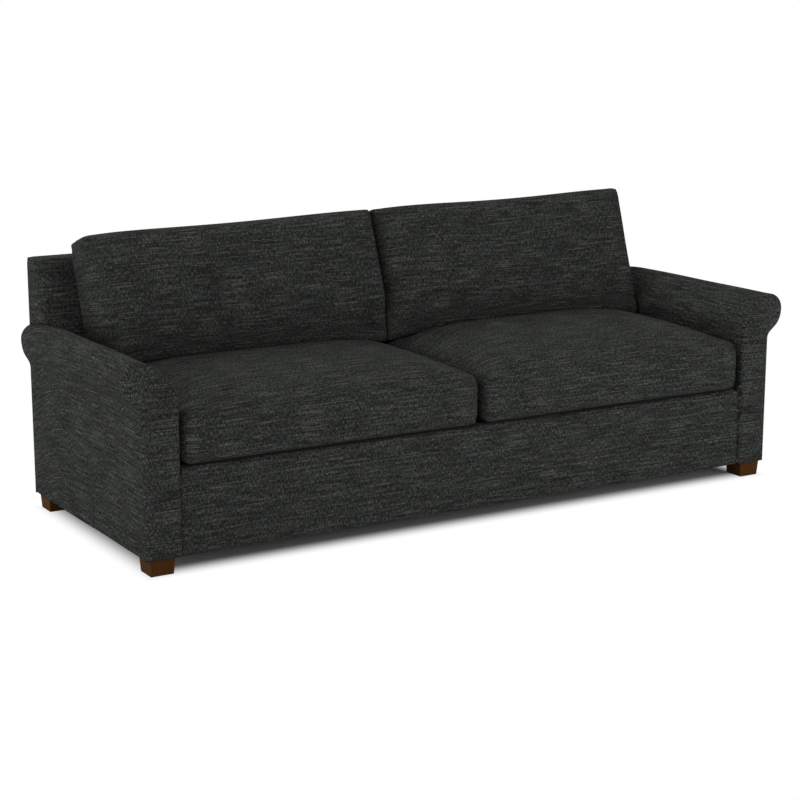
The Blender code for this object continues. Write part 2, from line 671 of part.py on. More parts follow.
def build_back_covers():
    fabric = SURFACES["fabric"]
    foot = DECK_HEIGHT + SEAM_GAP
    half = HALF_WIDTH - BACK_SIDE_INSET
    vertices, faces = back_block(0.0, foot, FRAME_REAR, half)
    cover = add_object("back_cover", vertices, faces, fabric)

    vertices, faces = back_block(COVER, foot - OVERRUN, FRAME_REAR + OVERRUN, half - COVER)
    combine(cover, add_guide("back_hollow", vertices, faces), "DIFFERENCE")
    solids = []
    for side in (-1, 1):
        vertices, faces = arm_solid(FRONT, FRAME_REAR, -SEAM_GAP, LEG_HEIGHT, 2 * OVERRUN)
        solids.append((mirrored(vertices, side), faces))
    vertices, faces = joined(solids)
    combine(cover, add_guide("arms_clear", vertices, faces), "DIFFERENCE")
    smooth(cover)

    half = HALF_WIDTH - BACK_SIDE_INSET
    vertices, faces = box(-half, half, REAR - BACK_PANEL, REAR, LEG_HEIGHT, BACK_HEIGHT)
    panel = add_object("outside_back_panel", vertices, faces, fabric)
    round_edges(panel, BACK_PANEL_EDGE, 1)


def build_deck():
    # Front rail cover: up the front, over the edge roll and back to the deck
    flange_back = FRAME_FRONT + EDGE_ROLL_WIDTH
    outer = [(RAIL_FACE, LEG_HEIGHT)]
    inner = [(RAIL_FACE + COVER, LEG_HEIGHT)]
    for i in range(SHOULDER_STEPS + 1):
        angle = math.pi - math.pi / 2 * i / SHOULDER_STEPS
        for row, inset in ((outer, 0.0), (inner, COVER)):
            radius = RAIL_EDGE_RADIUS - inset
            row.append((RAIL_FACE + RAIL_EDGE_RADIUS + radius * math.cos(angle),
                        RAIL_COVER_TOP - RAIL_EDGE_RADIUS + radius * math.sin(angle)))
    outer.append((flange_back, RAIL_COVER_TOP))
    inner.append((flange_back, RAIL_COVER_TOP - COVER))
    half = ARM_INNER - SEAM_GAP
    vertices, faces = prism_x(outer + inner[::-1], -half, half)
    smooth(add_object("front_rail_cover", vertices, faces, SURFACES["fabric"]))

    # Foam roll along the front edge, under that cover
    radius = RAIL_EDGE_RADIUS - COVER - SEAM_GAP
    roll_top = RAIL_COVER_TOP - COVER - SEAM_GAP
    outline = [(FRAME_FRONT, RAIL_TOP + SEAM_GAP)]
    for i in range(SHOULDER_STEPS + 1):
        angle = math.pi - math.pi / 2 * i / SHOULDER_STEPS
        outline.append((FRAME_FRONT + radius + radius * math.cos(angle),
                        roll_top - radius + radius * math.sin(angle)))
    outline += [(flange_back, roll_top), (flange_back, RAIL_TOP + SEAM_GAP)]
    vertices, faces = prism_x(outline, -half, half)
    add_object("front_edge_roll", vertices, faces, SURFACES["foam"])

    # Pad over the springs, and the deck cloth over both
    pad_top = RAIL_COVER_TOP
    vertices, faces = box(-half, half, flange_back + SEAM_GAP, DECK_BACK,
                          pad_top - DECK_PAD, pad_top)
    add_object("deck_pad", vertices, faces, SURFACES["fibre"])
    vertices, faces = box(-half, half, RAIL_FACE + RAIL_EDGE_RADIUS, DECK_BACK,
                          RAIL_COVER_TOP + SEAM_GAP, DECK_HEIGHT)
    add_object("deck_cloth", vertices, faces, SURFACES["lining"])

    # Dust cover under the frame, cut round the legs
    side = HALF_WIDTH - COVER - SEAM_GAP
    cut = LEG_TOP / 2 + LEG_CUT_CLEARANCE
    xs = [-side, -LEG_X - cut, -LEG_X + cut, LEG_X - cut, LEG_X + cut, side]
    ys = [FRAME_FRONT, -LEG_Y + cut, LEG_Y - cut, FRAME_REAR - COVER - SEAM_GAP]
    vertices, faces = cell_sheet(xs, ys, lambda i, j: not (i in (1, 3) and j in (0, 2)),
                                 lambda x, y: (x, y, LEG_HEIGHT), Vector((0, 0, DUST_COVER)))
    add_object("dust_cover", vertices, faces, SURFACES["lining"])


# Springs

def build_springs():
    """Sinuous wire springs, front rail to spring rail: level bars joined by half-round bends,
    arched a little, with two tie wires across each seat that join its springs into one unit."""
    y0 = FRAME_FRONT + FRONT_RAIL_THICKNESS - SPRING_BEARING
    y1 = SPRING_RAIL_FRONT + SPRING_BEARING
    bar_step = (y1 - y0) / (SPRING_BARS - 1)
    bend = bar_step / 2
    seat = RAIL_TOP + SEAM_GAP + WIRE / 2
    seat_half = (ARM_INNER - CUSHION_SPLIT) / 2

    def height(y):
        return seat + SPRING_CROWN * math.sin(math.pi * (y - y0) / (y1 - y0))

    for side, word in ((-1, "left"), (1, "right")):
        springs = []
        step = 2 * seat_half / SPRINGS_PER_SEAT
        for n in range(SPRINGS_PER_SEAT):
            centre = side * step * (n + 0.5)
            reach = SPRING_WIDTH / 2 - bend
            points = [Vector((centre - reach, y0, height(y0)))]
            way = 1
            for bar in range(SPRING_BARS - 1):
                y = y0 + bar_step * bar
                for i in range(BEND_STEPS):
                    angle = math.pi * ((i + 0.5) / BEND_STEPS - 0.5)
                    px = centre + way * (reach + bend * math.cos(angle))
                    py = y + bend + bend * math.sin(angle)
                    points.append(Vector((px, py, height(py))))
                way = -way
            points.append(Vector((centre - way * reach * SPRING_TAIL_SHARE, y1, height(y1))))
            springs.append(tube(points, WIRE / 2, Vector((0, 0, 1))))
        vertices, faces = joined(springs)
        unit = add_object(word + "_seat_springs", vertices, faces, SURFACES["spring_steel"])

        ties = []
        inner = step / 2 - SPRING_WIDTH
        outer = 2 * seat_half - step / 2 + SPRING_WIDTH
        for share in TIE_SHARES:
            bar = round((SPRING_BARS - 1) * share)
            y = y0 + bar_step * (bar + 0.5)
            ends = [Vector((x, y, height(y))) for x in sorted((side * inner, side * outer))]
            ties.append(tube(ends, TIE_WIRE / 2, Vector((0, 0, 1))))
        vertices, faces = joined(ties)
        combine(unit, add_guide(word + "_tie_wires", vertices, faces), "UNION")


# Cushions

def spread(i, count):
    """Place of grid line i of count between -1 and 1, closer together towards the ends."""
    return math.sin(math.pi / 2 * (2 * i / count - 1))


def cube_grid(divisions):
    """Lattice points on the surface of a block of cells, and its faces, by side."""
    index = {}
    order = []

    def at(point):
        if point not in index:
            index[point] = len(order)
            order.append(point)
        return index[point]

    faces = []
    sides = []
    nx, ny, nz = divisions
    for axis, (n1, n2, n0) in enumerate(((ny, nz, nx), (nz, nx, ny), (nx, ny, nz))):
        for end in (0, n0):
            for a in range(n1):
                for b in range(n2):
                    ring = []
                    for da, db in ((0, 0), (1, 0), (1, 1), (0, 1)):
                        place = [0, 0, 0]
                        place[axis] = end
                        place[(axis + 1) % 3] = a + da
                        place[(axis + 2) % 3] = b + db
                        ring.append(at(tuple(place)))
                    faces.append(ring if end else ring[::-1])
                    sides.append((axis, bool(end), a, b))
    return order, faces, sides


def edge_drop(radius, edge):
    """How far a rounded edge lies below its panel at a distance from the edge."""
    return radius - math.sqrt(max(0.0, radius ** 2 - max(0.0, radius - edge) ** 2))


def cushion_points(divisions, sizes, inset=0.0, floor=0.0):
    """A box cushion about its own middle: x across, y from its low to its high side, and z up
    from the flat panel to the crowned one.

    The crowned panel swells from a rounded edge, the walls swell between their seams, the
    corners of the outline are rounded, and the seams pull in between the corners.
    """
    half_x = sizes["half_x"] - inset
    half_y = sizes["half_y"] - inset
    top_radius = sizes["top_radius"] - inset
    side_radius = sizes["side_radius"] - inset
    foot_radius = sizes["foot_radius"]
    edge_top = sizes["edge_top"] - inset
    order, faces, sides = cube_grid(divisions)
    points = []
    for i, j, k in order:
        u, v = spread(i, divisions[0]), spread(j, divisions[1])
        share = k / divisions[2]
        x, y = u * half_x, v * half_y
        from_side, from_end = half_x - abs(x), half_y - abs(y)
        high = v > 0
        if k == divisions[2]:
            swell = (1 - abs(u) ** CROWN_POWER) * (1 - abs(v) ** CROWN_POWER)
            drop = max(edge_drop(side_radius, from_side), edge_drop(top_radius, from_end))
            z = edge_top + sizes["crown"](v) * swell - drop
        elif k == 0:
            z = floor + edge_drop(foot_radius, min(from_side, from_end))
        else:
            z = mix(floor + foot_radius, edge_top - top_radius, share)

        # Rounded corners of the outline
        corner = sizes["corner" if high else "low_corner"] - inset
        dx = x - max(corner - half_x, min(half_x - corner, x))
        dy = y - max(corner - half_y, min(half_y - corner, y))
        if dx and dy:
            pull = 1 - max(abs(dx), abs(dy)) / math.hypot(dx, dy)
            x -= dx * pull
            y -= dy * pull

        # Seams drawn in between the corners, and walls swelling between the seams
        draw = sizes["draw"]
        side_draw = draw if high else sizes["low_draw"]
        x -= math.copysign(abs(u) ** DRAW_POWER * draw * (1 - v ** 2), u)
        y -= math.copysign(abs(v) ** DRAW_POWER * side_draw * (1 - u ** 2), v)
        bulge = math.sin(math.pi * share)
        if abs(u) == 1:
            x += math.copysign(bulge * sizes["bulge"] * (1 - abs(v) ** CROWN_POWER), u)
        if abs(v) == 1:
            side_bulge = sizes["bulge" if high else "low_bulge"]
            y += math.copysign(bulge * side_bulge * (1 - abs(u) ** CROWN_POWER), v)
        points.append((x, y, z))
    return points, faces, sides


def build_cushion(word, sizes, place):
    """Cover with its zip opening, the zip, and the core. place puts a point in the sofa."""
    points, faces, sides = cushion_points(COVER_DIVISIONS, sizes)
    nx, ny, nz = COVER_DIVISIONS
    slot = []
    shell = []
    for face, (axis, end, up, across) in zip(faces, sides):
        opening = (axis == 1 and end == sizes["zip_high"] and up == nz // 2
                   and ZIP_END_STEPS <= across < nx - ZIP_END_STEPS)
        (slot if opening else shell).append(face)
    placed = [place(p) for p in points]
    cover = add_object(word + "_cover", placed, shell, SURFACES["fabric"])
    add_wall(cover)
    smooth(cover)

    # Zip: the strip of wall in the slot, with a seam's gap all round
    used = sorted({i for face in slot for i in face})
    numbers = {old: new for new, old in enumerate(used)}
    local = [points[i] for i in used]
    low = [min(p[axis] for p in local) for axis in range(3)]
    high = [max(p[axis] for p in local) for axis in range(3)]
    strip = []
    for point in local:
        moved = list(point)
        for axis in (0, 2):
            if point[axis] == low[axis]:
                moved[axis] += SEAM_GAP
            elif point[axis] == high[axis]:
                moved[axis] -= SEAM_GAP
        strip.append(place(moved))
    strip_faces = [[numbers[i] for i in face] for face in slot]
    add_wall(add_object(word + "_zip", strip, strip_faces, SURFACES["zip"]))

    core, core_faces, _ = cushion_points(CORE_DIVISIONS, sizes, CORE_CLEARANCE,
                                         sizes["core_floor"])
    add_object(word + "_core", [place(p) for p in core], core_faces, SURFACES["foam"])


def add_wall(made):
    wall = made.modifiers.new("cloth", "SOLIDIFY")
    wall.thickness = CUSHION_FABRIC
    wall.offset = -1.0


def build_seat_cushions():
    outer = ARM_INNER - CUSHION_ARM_CLEARANCE
    middle = (CUSHION_SPLIT / 2 + outer) / 2
    rear = back_y(SEAT_FOOT) - SEAM_GAP
    centre = (FRONT + rear) / 2
    half_y = (rear - FRONT) / 2
    rest_from = back_y(SEAT_REST_HEIGHT) - BACK_CUSHION_THICKNESS + BACK_CUSHION_EDGE_RADIUS / 2
    rest_share = (rest_from - centre) / half_y

    def seat_crown(v):
        share = max(0.0, min(1.0, (v - rest_share) / REST_BLEND_SHARE + 1))
        return mix(SEAT_CROWN, SEAT_REST, share * share * (3 - 2 * share))

    sizes = {
        "half_x": (outer - CUSHION_SPLIT / 2) / 2,
        "half_y": half_y,
        "corner": SEAT_CORNER_RADIUS,
        "low_corner": SEAT_CORNER_RADIUS,
        "top_radius": SEAT_TOP_RADIUS,
        "side_radius": SEAT_SIDE_RADIUS,
        "foot_radius": SEAT_FOOT_RADIUS,
        "core_floor": CUSHION_FABRIC + SEAM_GAP,
        "edge_top": SEAT_THICKNESS,
        "crown": seat_crown,
        "draw": SEAT_DRAW,
        "low_draw": SEAT_DRAW,
        "bulge": SEAT_SIDE_BULGE,
        "low_bulge": SEAT_SIDE_BULGE,
        "zip_high": True,
    }
    for side, word in ((-1, "left"), (1, "right")):
        build_cushion(word + "_seat_cushion", sizes,
                      lambda p, side=side: (p[0] + side * middle, p[1] + centre, p[2] + SEAT_FOOT))


def build_back_cushions():
    """Box cushions that lean on the inside back: the flat panel lies along it, the crowned one
    faces the sitter, and the low side stands flat on the seat cushion."""
    foot = SEAT_REST_HEIGHT + SEAM_GAP
    outer = ARM_INNER - CUSHION_ARM_CLEARANCE
    middle = (CUSHION_SPLIT / 2 + outer) / 2
    half_y = BACK_CUSHION_HEIGHT / 2
    slim = BACK_CUSHION_TOP_THICKNESS / BACK_CUSHION_THICKNESS
    tilt = math.tan(LEAN)
    sizes = {
        "half_x": (outer - CUSHION_SPLIT / 2) / 2,
        "half_y": half_y,
        "corner": BACK_CUSHION_CORNER_RADIUS,
        "low_corner": BACK_CUSHION_LOW_CORNER_RADIUS,
        "top_radius": BACK_CUSHION_EDGE_RADIUS,
        "side_radius": BACK_CUSHION_SIDE_RADIUS,
        "foot_radius": BACK_CUSHION_FOOT_RADIUS,
        "core_floor": (CUSHION_FABRIC + SEAM_GAP) / math.cos(LEAN) / slim,
        "edge_top": BACK_CUSHION_THICKNESS,
        "crown": lambda v: BACK_CUSHION_CROWN,
        "draw": BACK_CUSHION_DRAW,
        "low_draw": 0.0,
        "bulge": BACK_CUSHION_BULGE,
        "low_bulge": 0.0,
        "zip_high": False,
    }

    def lean(point, side):
        """Sheared along the inside back at its foot, square to it at its top."""
        x, up, forward = point
        height = foot + half_y + up
        share = (half_y + up) / BACK_CUSHION_HEIGHT
        reach = forward * mix(1.0, slim, share)
        return x + side * middle, back_y(height, -SEAM_GAP) - reach, height + reach * tilt * share

    for side, word in ((-1, "left"), (1, "right")):
        build_cushion(word + "_back_cushion", sizes, lambda p, side=side: lean(p, side))


SURFACES = {}


def main():
    for old in list(bpy.data.objects):
        bpy.data.objects.remove(old, do_unlink=True)
    SURFACES.update(make_materials())
    for side, word in ((-1, "left"), (1, "right")):
        build_arm(side, word)
    build_seat_frame()
    build_back_frame()
    build_back_covers()
    build_deck()
    build_springs()
    build_seat_cushions()
    build_back_cushions()


main()
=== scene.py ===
# Two-seat sofa in a charcoal slub weave: rolled arms, loose seat and back cushions, block legs.
# Metres, +Z up, the front faces -Y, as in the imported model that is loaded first.

import json
import math

import bmesh
import bpy
import numpy as np
from mathutils import Matrix, Vector


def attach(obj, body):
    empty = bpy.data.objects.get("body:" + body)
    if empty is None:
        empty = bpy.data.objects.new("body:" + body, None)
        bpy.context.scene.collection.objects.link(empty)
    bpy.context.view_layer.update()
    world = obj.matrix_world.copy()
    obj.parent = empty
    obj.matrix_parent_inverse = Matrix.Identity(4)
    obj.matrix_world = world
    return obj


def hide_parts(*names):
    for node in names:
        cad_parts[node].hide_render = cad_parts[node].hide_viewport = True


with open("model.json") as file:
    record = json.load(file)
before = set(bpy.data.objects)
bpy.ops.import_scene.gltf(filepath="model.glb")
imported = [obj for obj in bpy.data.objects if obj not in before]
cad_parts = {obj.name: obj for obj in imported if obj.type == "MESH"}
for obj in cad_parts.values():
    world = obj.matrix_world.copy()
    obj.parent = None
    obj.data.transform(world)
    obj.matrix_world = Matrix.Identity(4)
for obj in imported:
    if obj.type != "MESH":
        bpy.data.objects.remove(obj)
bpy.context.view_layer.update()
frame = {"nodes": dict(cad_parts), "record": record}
scene = bpy.context.scene
print("frame loaded:", len(frame["nodes"]), "nodes")


# Camera, at the photograph's viewing angle

view = {
    "place": (-3.192, -5.2487, 1.6672),
    "yaw": 0.5405,          # radians to the right of +Y
    "pitch": 0.2176,        # radians below level
    "lens": 85.39,
    "sensor": 36.0,
    "clipEnd": 60.0,
}


def makeCamera():
    # Looks along yaw and pitch, upright: its axes are right, up and back.
    yaw, pitch = view["yaw"], view["pitch"]
    ahead = Vector((math.sin(yaw) * math.cos(pitch), math.cos(yaw) * math.cos(pitch),
                    -math.sin(pitch)))
    right = ahead.cross(Vector((0, 0, 1))).normalized()
    up = right.cross(ahead)
    data = bpy.data.cameras.new("camera")
    data.lens = view["lens"]
    data.sensor_width = view["sensor"]
    data.clip_end = view["clipEnd"]
    camera = bpy.data.objects.new("camera", data)
    camera.matrix_world = (Matrix.Translation(view["place"])
                           @ Matrix((right, up, -ahead)).transposed().to_4x4())
    scene.collection.objects.link(camera)
    scene.camera = camera


makeCamera()
scene.view_settings.view_transform = "Standard"


# Shader maths

class Val:
    # One number's socket: + - * / > and the methods below add Math nodes.

    def __init__(self, tree, socket):
        self.tree, self.socket = tree, socket

    def math(self, operation, *others):
        node = self.tree.add("ShaderNodeMath", {"operation": operation})
        for socket, value in zip(node.inputs, (self, *others)):
            self.tree.put(socket, value)
        return Val(self.tree, node.outputs[0])

    def takenFrom(self, first):
        sockets = {0: first, 1: self}
        node = self.tree.add("ShaderNodeMath", {"operation": "SUBTRACT"}, sockets)
        return Val(self.tree, node.outputs[0])

    def __add__(self, other): return self.math("ADD", other)
    def __radd__(self, other): return self.math("ADD", other)
    def __sub__(self, other): return self.math("SUBTRACT", other)
    def __rsub__(self, other): return self.takenFrom(other)
    def __mul__(self, other): return self.math("MULTIPLY", other)
    def __rmul__(self, other): return self.math("MULTIPLY", other)
    def __truediv__(self, other): return self.math("DIVIDE", other)
    def __gt__(self, other): return self.math("GREATER_THAN", other)
    def floor(self): return self.math("FLOOR")
    def mod(self, other): return self.math("FLOORED_MODULO", other)
    def sine(self): return self.math("SINE")
    def exp(self): return self.math("EXPONENT")
    def least(self, other): return self.math("MINIMUM", other)
    def most(self, other): return self.math("MAXIMUM", other)
    def size(self): return self.math("ABSOLUTE")

    def ramp(self, low, high, out0=0.0, out1=1.0, kind="SMOOTHSTEP"):
        # From out0 at low to out1 at high, held at both ends.
        node = self.tree.add("ShaderNodeMapRange", {"interpolation_type": kind}, {
            "Value": self, "From Min": low, "From Max": high, "To Min": out0, "To Max": out1})
        return Val(self.tree, node.outputs[0])


class Tree:
    # A material's nodes: add() makes any node from its type, settings and sockets.

    def __init__(self, name, constants):
        self.material = bpy.data.materials.new(name)
        self.material.use_nodes = True
        self.nodes = self.material.node_tree.nodes
        self.links = self.material.node_tree.links
        self.shader = self.nodes["Principled BSDF"]
        for socket, value in constants.items():
            self.shader.inputs[socket].default_value = value

    def put(self, socket, value):
        # Links a socket, or writes a number, vector or colour.
        value = value.socket if isinstance(value, Val) else value
        if isinstance(value, bpy.types.NodeSocket):
            self.links.new(value, socket)
        else:
            socket.default_value = (*value, 1.0) if socket.type == "RGBA" else value

    def add(self, kind, settings=None, sockets=None):
        node = self.nodes.new(kind)
        for name, value in (settings or {}).items():
            setattr(node, name, value)
        for name, value in (sockets or {}).items():
            self.put(node.inputs[name], value)
        return node

    def split(self, vector):
        node = self.add("ShaderNodeSeparateXYZ", {}, {0: vector})
        return [Val(self, output) for output in node.outputs]

    def join(self, x, y, z=0.0):
        return self.add("ShaderNodeCombineXYZ", {}, {0: x, 1: y, 2: z}).outputs[0]

    def weave(self):
        # The piece's own flat coordinates in metres: x along the weft, y along the warp.
        return self.add("ShaderNodeUVMap", {"uv_map": "weave"}).outputs[0]

    def place(self):
        return self.add("ShaderNodeTexCoord").outputs["Object"]

    def noise(self, vector, scale=1.0, detail=0.0, rough=0.5, flat=False):
        node = self.add("ShaderNodeTexNoise", {"noise_dimensions": "2D" if flat else "3D"}, {
            "Vector": vector, "Scale": scale, "Detail": detail, "Roughness": rough})
        return Val(self, node.outputs["Fac"])

    def grain(self, scales, detail, rough=0.5):
        # Noise over the piece's place, with a scale for each axis.
        node = self.add("ShaderNodeVectorMath", {"operation": "MULTIPLY"},
                        {0: self.place(), 1: scales})
        return self.noise(node.outputs[0], 1.0, detail, rough)

    def dots(self, x, y):
        # A number from 0 to 1 for each whole x and y.
        node = self.add("ShaderNodeTexWhiteNoise", {"noise_dimensions": "2D"},
                        {"Vector": self.join(x, y)})
        return Val(self, node.outputs["Value"])

    def blend(self, share, first, second):
        node = self.add("ShaderNodeMix", {"data_type": "RGBA"})
        self.put(node.inputs["Factor"], share)
        self.put(node.inputs[6], first)
        self.put(node.inputs[7], second)
        return node.outputs[2]

    def tinted(self, colour, red, green, blue):
        # The colour with each channel times a number that varies over the surface.
        node = self.add("ShaderNodeVectorMath", {"operation": "MULTIPLY"},
                        {0: colour, 1: self.join(red, green, blue)})
        return node.outputs[0]

    def scaled(self, colour, factor):
        return self.tinted(colour, factor, factor, factor)

    def finish(self, colour, height, bump, roughness=None):
        # What varies over the surface. bump is the height's depth in metres and its strength.
        self.put(self.shader.inputs["Base Color"], colour)
        if roughness is not None:
            self.put(self.shader.inputs["Roughness"], roughness)
        node = self.add("ShaderNodeBump", {}, {"Height": height, "Distance": bump[0],
                                               "Strength": bump[1]})
        self.put(self.shader.inputs["Normal"], node.outputs[0])
        return self.material


# Materials

fabric = {
    "tone": (0.0271, 0.0293, 0.0265),
    "slub": (0.0860, 0.0890, 0.0780),
    "warpPitch": 0.0030,
    "weftPitch": 0.0024,
    # size along the weft, size across it, strength, and a shift to a place of its own
    "streak": (0.125, 0.0038, 1.15, 3.7),
    "tick": (0.0030, 0.0100, 2.25, 11.3),
    "patch": (0.095, 0.050, 0.34, 5.1),
    "hue": (0.026, 0.021, 0.30, 23.9),
    "slubSize": (0.130, 0.0030),
    "slubShift": (41.2, 17.1),
    "slubFrom": 0.69,
    "slubTo": 0.80,
    "slubUnder": 0.40,      # how much of a slub shows where the warp lies over it
    "slubTone": (0.9, 0.5, 0.4),    # its tone, what a tick adds to that, and the least of it
    "speck": 0.85,
    "redShare": 0.25,       # of the hue's unevenness; all of it goes off blue
    "relief": 0.24,
    "weftShare": 0.55,      # of the surface that has the weft on top
    # each yarn's height, and what the crossing's parity adds: to see which is on top, and
    # for the bump
    "weftOver": (0.62, 0.38),
    "warpOver": (0.92, -0.41),
    "weftHeight": (0.60, 0.40),
    "warpHeight": (0.55, -0.40),
    "slubHeight": 0.9,
    "streakHeight": 0.4,
    "bump": (0.0006, 0.7),
}


def makeCharcoalFabric():
    # Plain weave. The tone is e to the sum of: long streaks read at the middle of each weft
    # row, short ticks read at the middle of each warp column, slow patches, and a speck at
    # each crossing. Slubs lie where a long noise passes a limit. The yarn on top at a crossing
    # is the higher of two half sines, in turn by the crossing's parity.
    t = Tree("charcoalSlubWeave", {"Roughness": 0.95, "Specular IOR Level": 0.02})
    along, across, _ = t.split(t.weave())
    columns, rows = along / fabric["warpPitch"], across / fabric["weftPitch"]
    column, row = columns.floor(), rows.floor()
    columnMiddle = (column + 0.5) * fabric["warpPitch"]
    rowMiddle = (row + 0.5) * fabric["weftPitch"]
    parity = (row + column).mod(2.0)

    def uneven(kind, x, y):
        alongSize, acrossSize, strength, shift = fabric[kind]
        spot = t.join(x / alongSize + shift, y / acrossSize + shift)
        return (t.noise(spot, flat=True) - 0.5) * strength

    def yarn(places, kind):
        level, turn = fabric[kind]
        return (places * math.pi).sine().size() * (level + turn * parity)

    streak = uneven("streak", along, rowMiddle)
    tick = uneven("tick", columnMiddle, across)
    patch = uneven("patch", along, across)
    hue = uneven("hue", along, across)
    speck = (t.dots(column, row) - 0.5) * fabric["speck"]
    size, shift = fabric["slubSize"], fabric["slubShift"]
    spot = t.join(along / size[0] + shift[0], rowMiddle / size[1] + shift[1])
    slub = t.noise(spot, flat=True).ramp(fabric["slubFrom"], fabric["slubTo"])

    weftUp = yarn(rows, "weftOver") > yarn(columns, "warpOver")
    relief = 1.0 + fabric["relief"] * (weftUp - fabric["weftShare"])
    tone = (streak + tick + patch + speck).exp() * relief
    ground = t.tinted(fabric["tone"], tone * (1.0 + hue * fabric["redShare"]), tone,
                      tone * (1.0 - hue))
    level, ticked, least = fabric["slubTone"]
    raised = t.scaled(fabric["slub"], (level + tick * ticked).most(least))
    under = fabric["slubUnder"]
    height = (yarn(rows, "weftHeight") + yarn(columns, "warpHeight")
              + slub * fabric["slubHeight"] + streak * fabric["streakHeight"])
    return t.finish(t.blend(slub * (under + (1 - under) * weftUp), ground, raised), height,
                    fabric["bump"])


legWood = {
    "dark": (0.0260, 0.0090, 0.0014),
    "pale": (0.0900, 0.0350, 0.0062),
    "bendScale": (22.0, 22.0, 6.0),
    "poreScale": (900.0, 900.0, 28.0),
    "poreFrom": (0.62, 0.75),
    "cloudScale": (30.0, 30.0, 14.0),
    "grainPitch": 0.0042,
    "skew": 0.8,            # how much of y runs into the rings, which lie across x
    "bend": 0.012,
    # share of the pale tone, and how far each of these moves it
    "middle": 0.45,
    "rings": 0.16,
    "cloud": 0.5,
    "pores": 0.25,
    "roughness": (0.55, 0.12),      # without pores, and what they add
    "bump": (0.0002, 0.5),
}


def makeLegWood():
    # Stained wood: long grain down the leg that a slow noise bends, fine pores, and clouding.
    t = Tree("darkStainedLegWood", {"Specular IOR Level": 0.06})
    x, y, _ = t.split(t.place())
    across = x + y * legWood["skew"] + t.grain(legWood["bendScale"], 2.0) * legWood["bend"]
    rings = (across / legWood["grainPitch"] * math.pi).sine()
    pores = t.grain(legWood["poreScale"], 1.0)
    cloud = t.grain(legWood["cloudScale"], 2.0) - 0.5
    tone = (legWood["middle"] + rings * legWood["rings"] + cloud * legWood["cloud"]
            - pores.ramp(*legWood["poreFrom"]) * legWood["pores"])
    plain, added = legWood["roughness"]
    return t.finish(t.blend(tone.most(0.0).least(1.0), legWood["dark"], legWood["pale"]),
                    pores * -1.0, legWood["bump"], plain + pores * added)


timber = {
    "bendScale": (2.0, 14.0, 14.0),
    "bend": 0.05,
    "fibreScale": 420.0,    # across the fibres
    "middle": 0.5,
    "rings": 0.28,
    "fibres": 0.6,
    "roughness": (0.66, 0.2),
    "bump": (0.0004, 0.6),
}


def makeTimber(name, dark, pale, pitch, alongFibres):
    # Unfinished timber for the hidden frame: growth rings along X, and sawn fibres.
    t = Tree(name, {})
    _, y, z = t.split(t.place())
    bend = t.grain(timber["bendScale"], 3.0) * timber["bend"]
    rings = ((y + z + bend) / pitch * math.pi).sine()
    fibre = t.grain((alongFibres, timber["fibreScale"], timber["fibreScale"]), 2.0)
    tone = timber["middle"] + rings * timber["rings"] + (fibre - 0.5) * timber["fibres"]
    plain, added = timber["roughness"]
    return t.finish(t.blend(tone.most(0.0).least(1.0), dark, pale), fibre, timber["bump"],
                    plain + fibre * added)


felt = {
    "tone": (0.0150, 0.0150, 0.0162),
    "fibreScale": (900.0, 900.0, 900.0),
    "pointScale": 1400.0,
    "pointFrom": (0.6, 0.95),
    "least": 0.7,
    "fibres": 0.6,
    "points": 0.25,         # how much darker the bonding points are
    "pointDepth": 0.3,
    "bump": (0.0003, 0.6),
}


def makeLining():
    # Black lining felt: fibres in every direction under a grid of bonding points.
    t = Tree("blackLining", {"Roughness": 0.9, "Specular IOR Level": 0.1})
    x, y, _ = t.split(t.place())
    fibre = t.grain(felt["fibreScale"], 3.0, 0.7)
    points = (x * felt["pointScale"]).sine() * (y * felt["pointScale"]).sine()
    spots = points.ramp(*felt["pointFrom"], 0.0, felt["points"])
    tone = felt["least"] + fibre * felt["fibres"] - spots
    return t.finish(t.scaled(felt["tone"], tone), fibre - points * felt["pointDepth"],
                    felt["bump"])


foam = {
    "detail": (3.0, 0.65),
    # the dark end of this tone is painted shade in the low pits
    "shadedPits": (0.3, 0.7, 0.72, 1.1),      # the noise from and to, and the tone there
    "bump": (0.0008, 0.8),
}


def makeFoam(name, colour, cells):
    # Open-cell foam or fibre pad: small cells, with painted shade that darkens the pits where the
    # bump is lower.
    t = Tree(name, {"Roughness": 0.95})
    shadedPits = t.noise(t.place(), cells, *foam["detail"])
    return t.finish(t.scaled(colour, shadedPits.ramp(*foam["shadedPits"], "LINEAR")), shadedPits, foam["bump"])


webbing = {
    "tone": (0.40, 0.31, 0.20),
    "scale": (2400.0, 1800.0),
    "level": 0.8,
    "yarn": 0.2,
    "wornScale": 160.0,
    "worn": 0.5,
    "bump": (0.0008, 0.7),
}


def makeWebbing():
    # Jute webbing: coarse plain weave, unevenly worn.
    t = Tree("juteWebbing", {"Roughness": 0.9})
    x, _, z = t.split(t.place())
    yarn = (x * webbing["scale"][0]).sine() * (z * webbing["scale"][1]).sine()
    worn = t.noise(t.place(), webbing["wornScale"], 2.0) - 0.5
    tone = webbing["level"] + yarn * webbing["yarn"] + worn * webbing["worn"]
    return t.finish(t.scaled(webbing["tone"], tone), yarn, webbing["bump"])


steel = {
    "scale": 240.0,
    "from": (0.3, 0.7),
    "tone": (0.82, 1.08),
    "rougher": (-0.08, 0.10),
    "bump": (0.0001, 0.3),
}


def makeSteel(name, colour, roughness):
    # Drawn wire or plated steel: a mottled finish, rougher where it is paler.
    t = Tree(name, {"Metallic": 1.0})
    mottle = t.noise(t.place(), steel["scale"], 3.0)
    tone = mottle.ramp(*steel["from"], *steel["tone"], "LINEAR")
    least, most = steel["rougher"]
    return t.finish(t.scaled(colour, tone), mottle, steel["bump"],
                    mottle.ramp(*steel["from"], roughness + least, roughness + most))


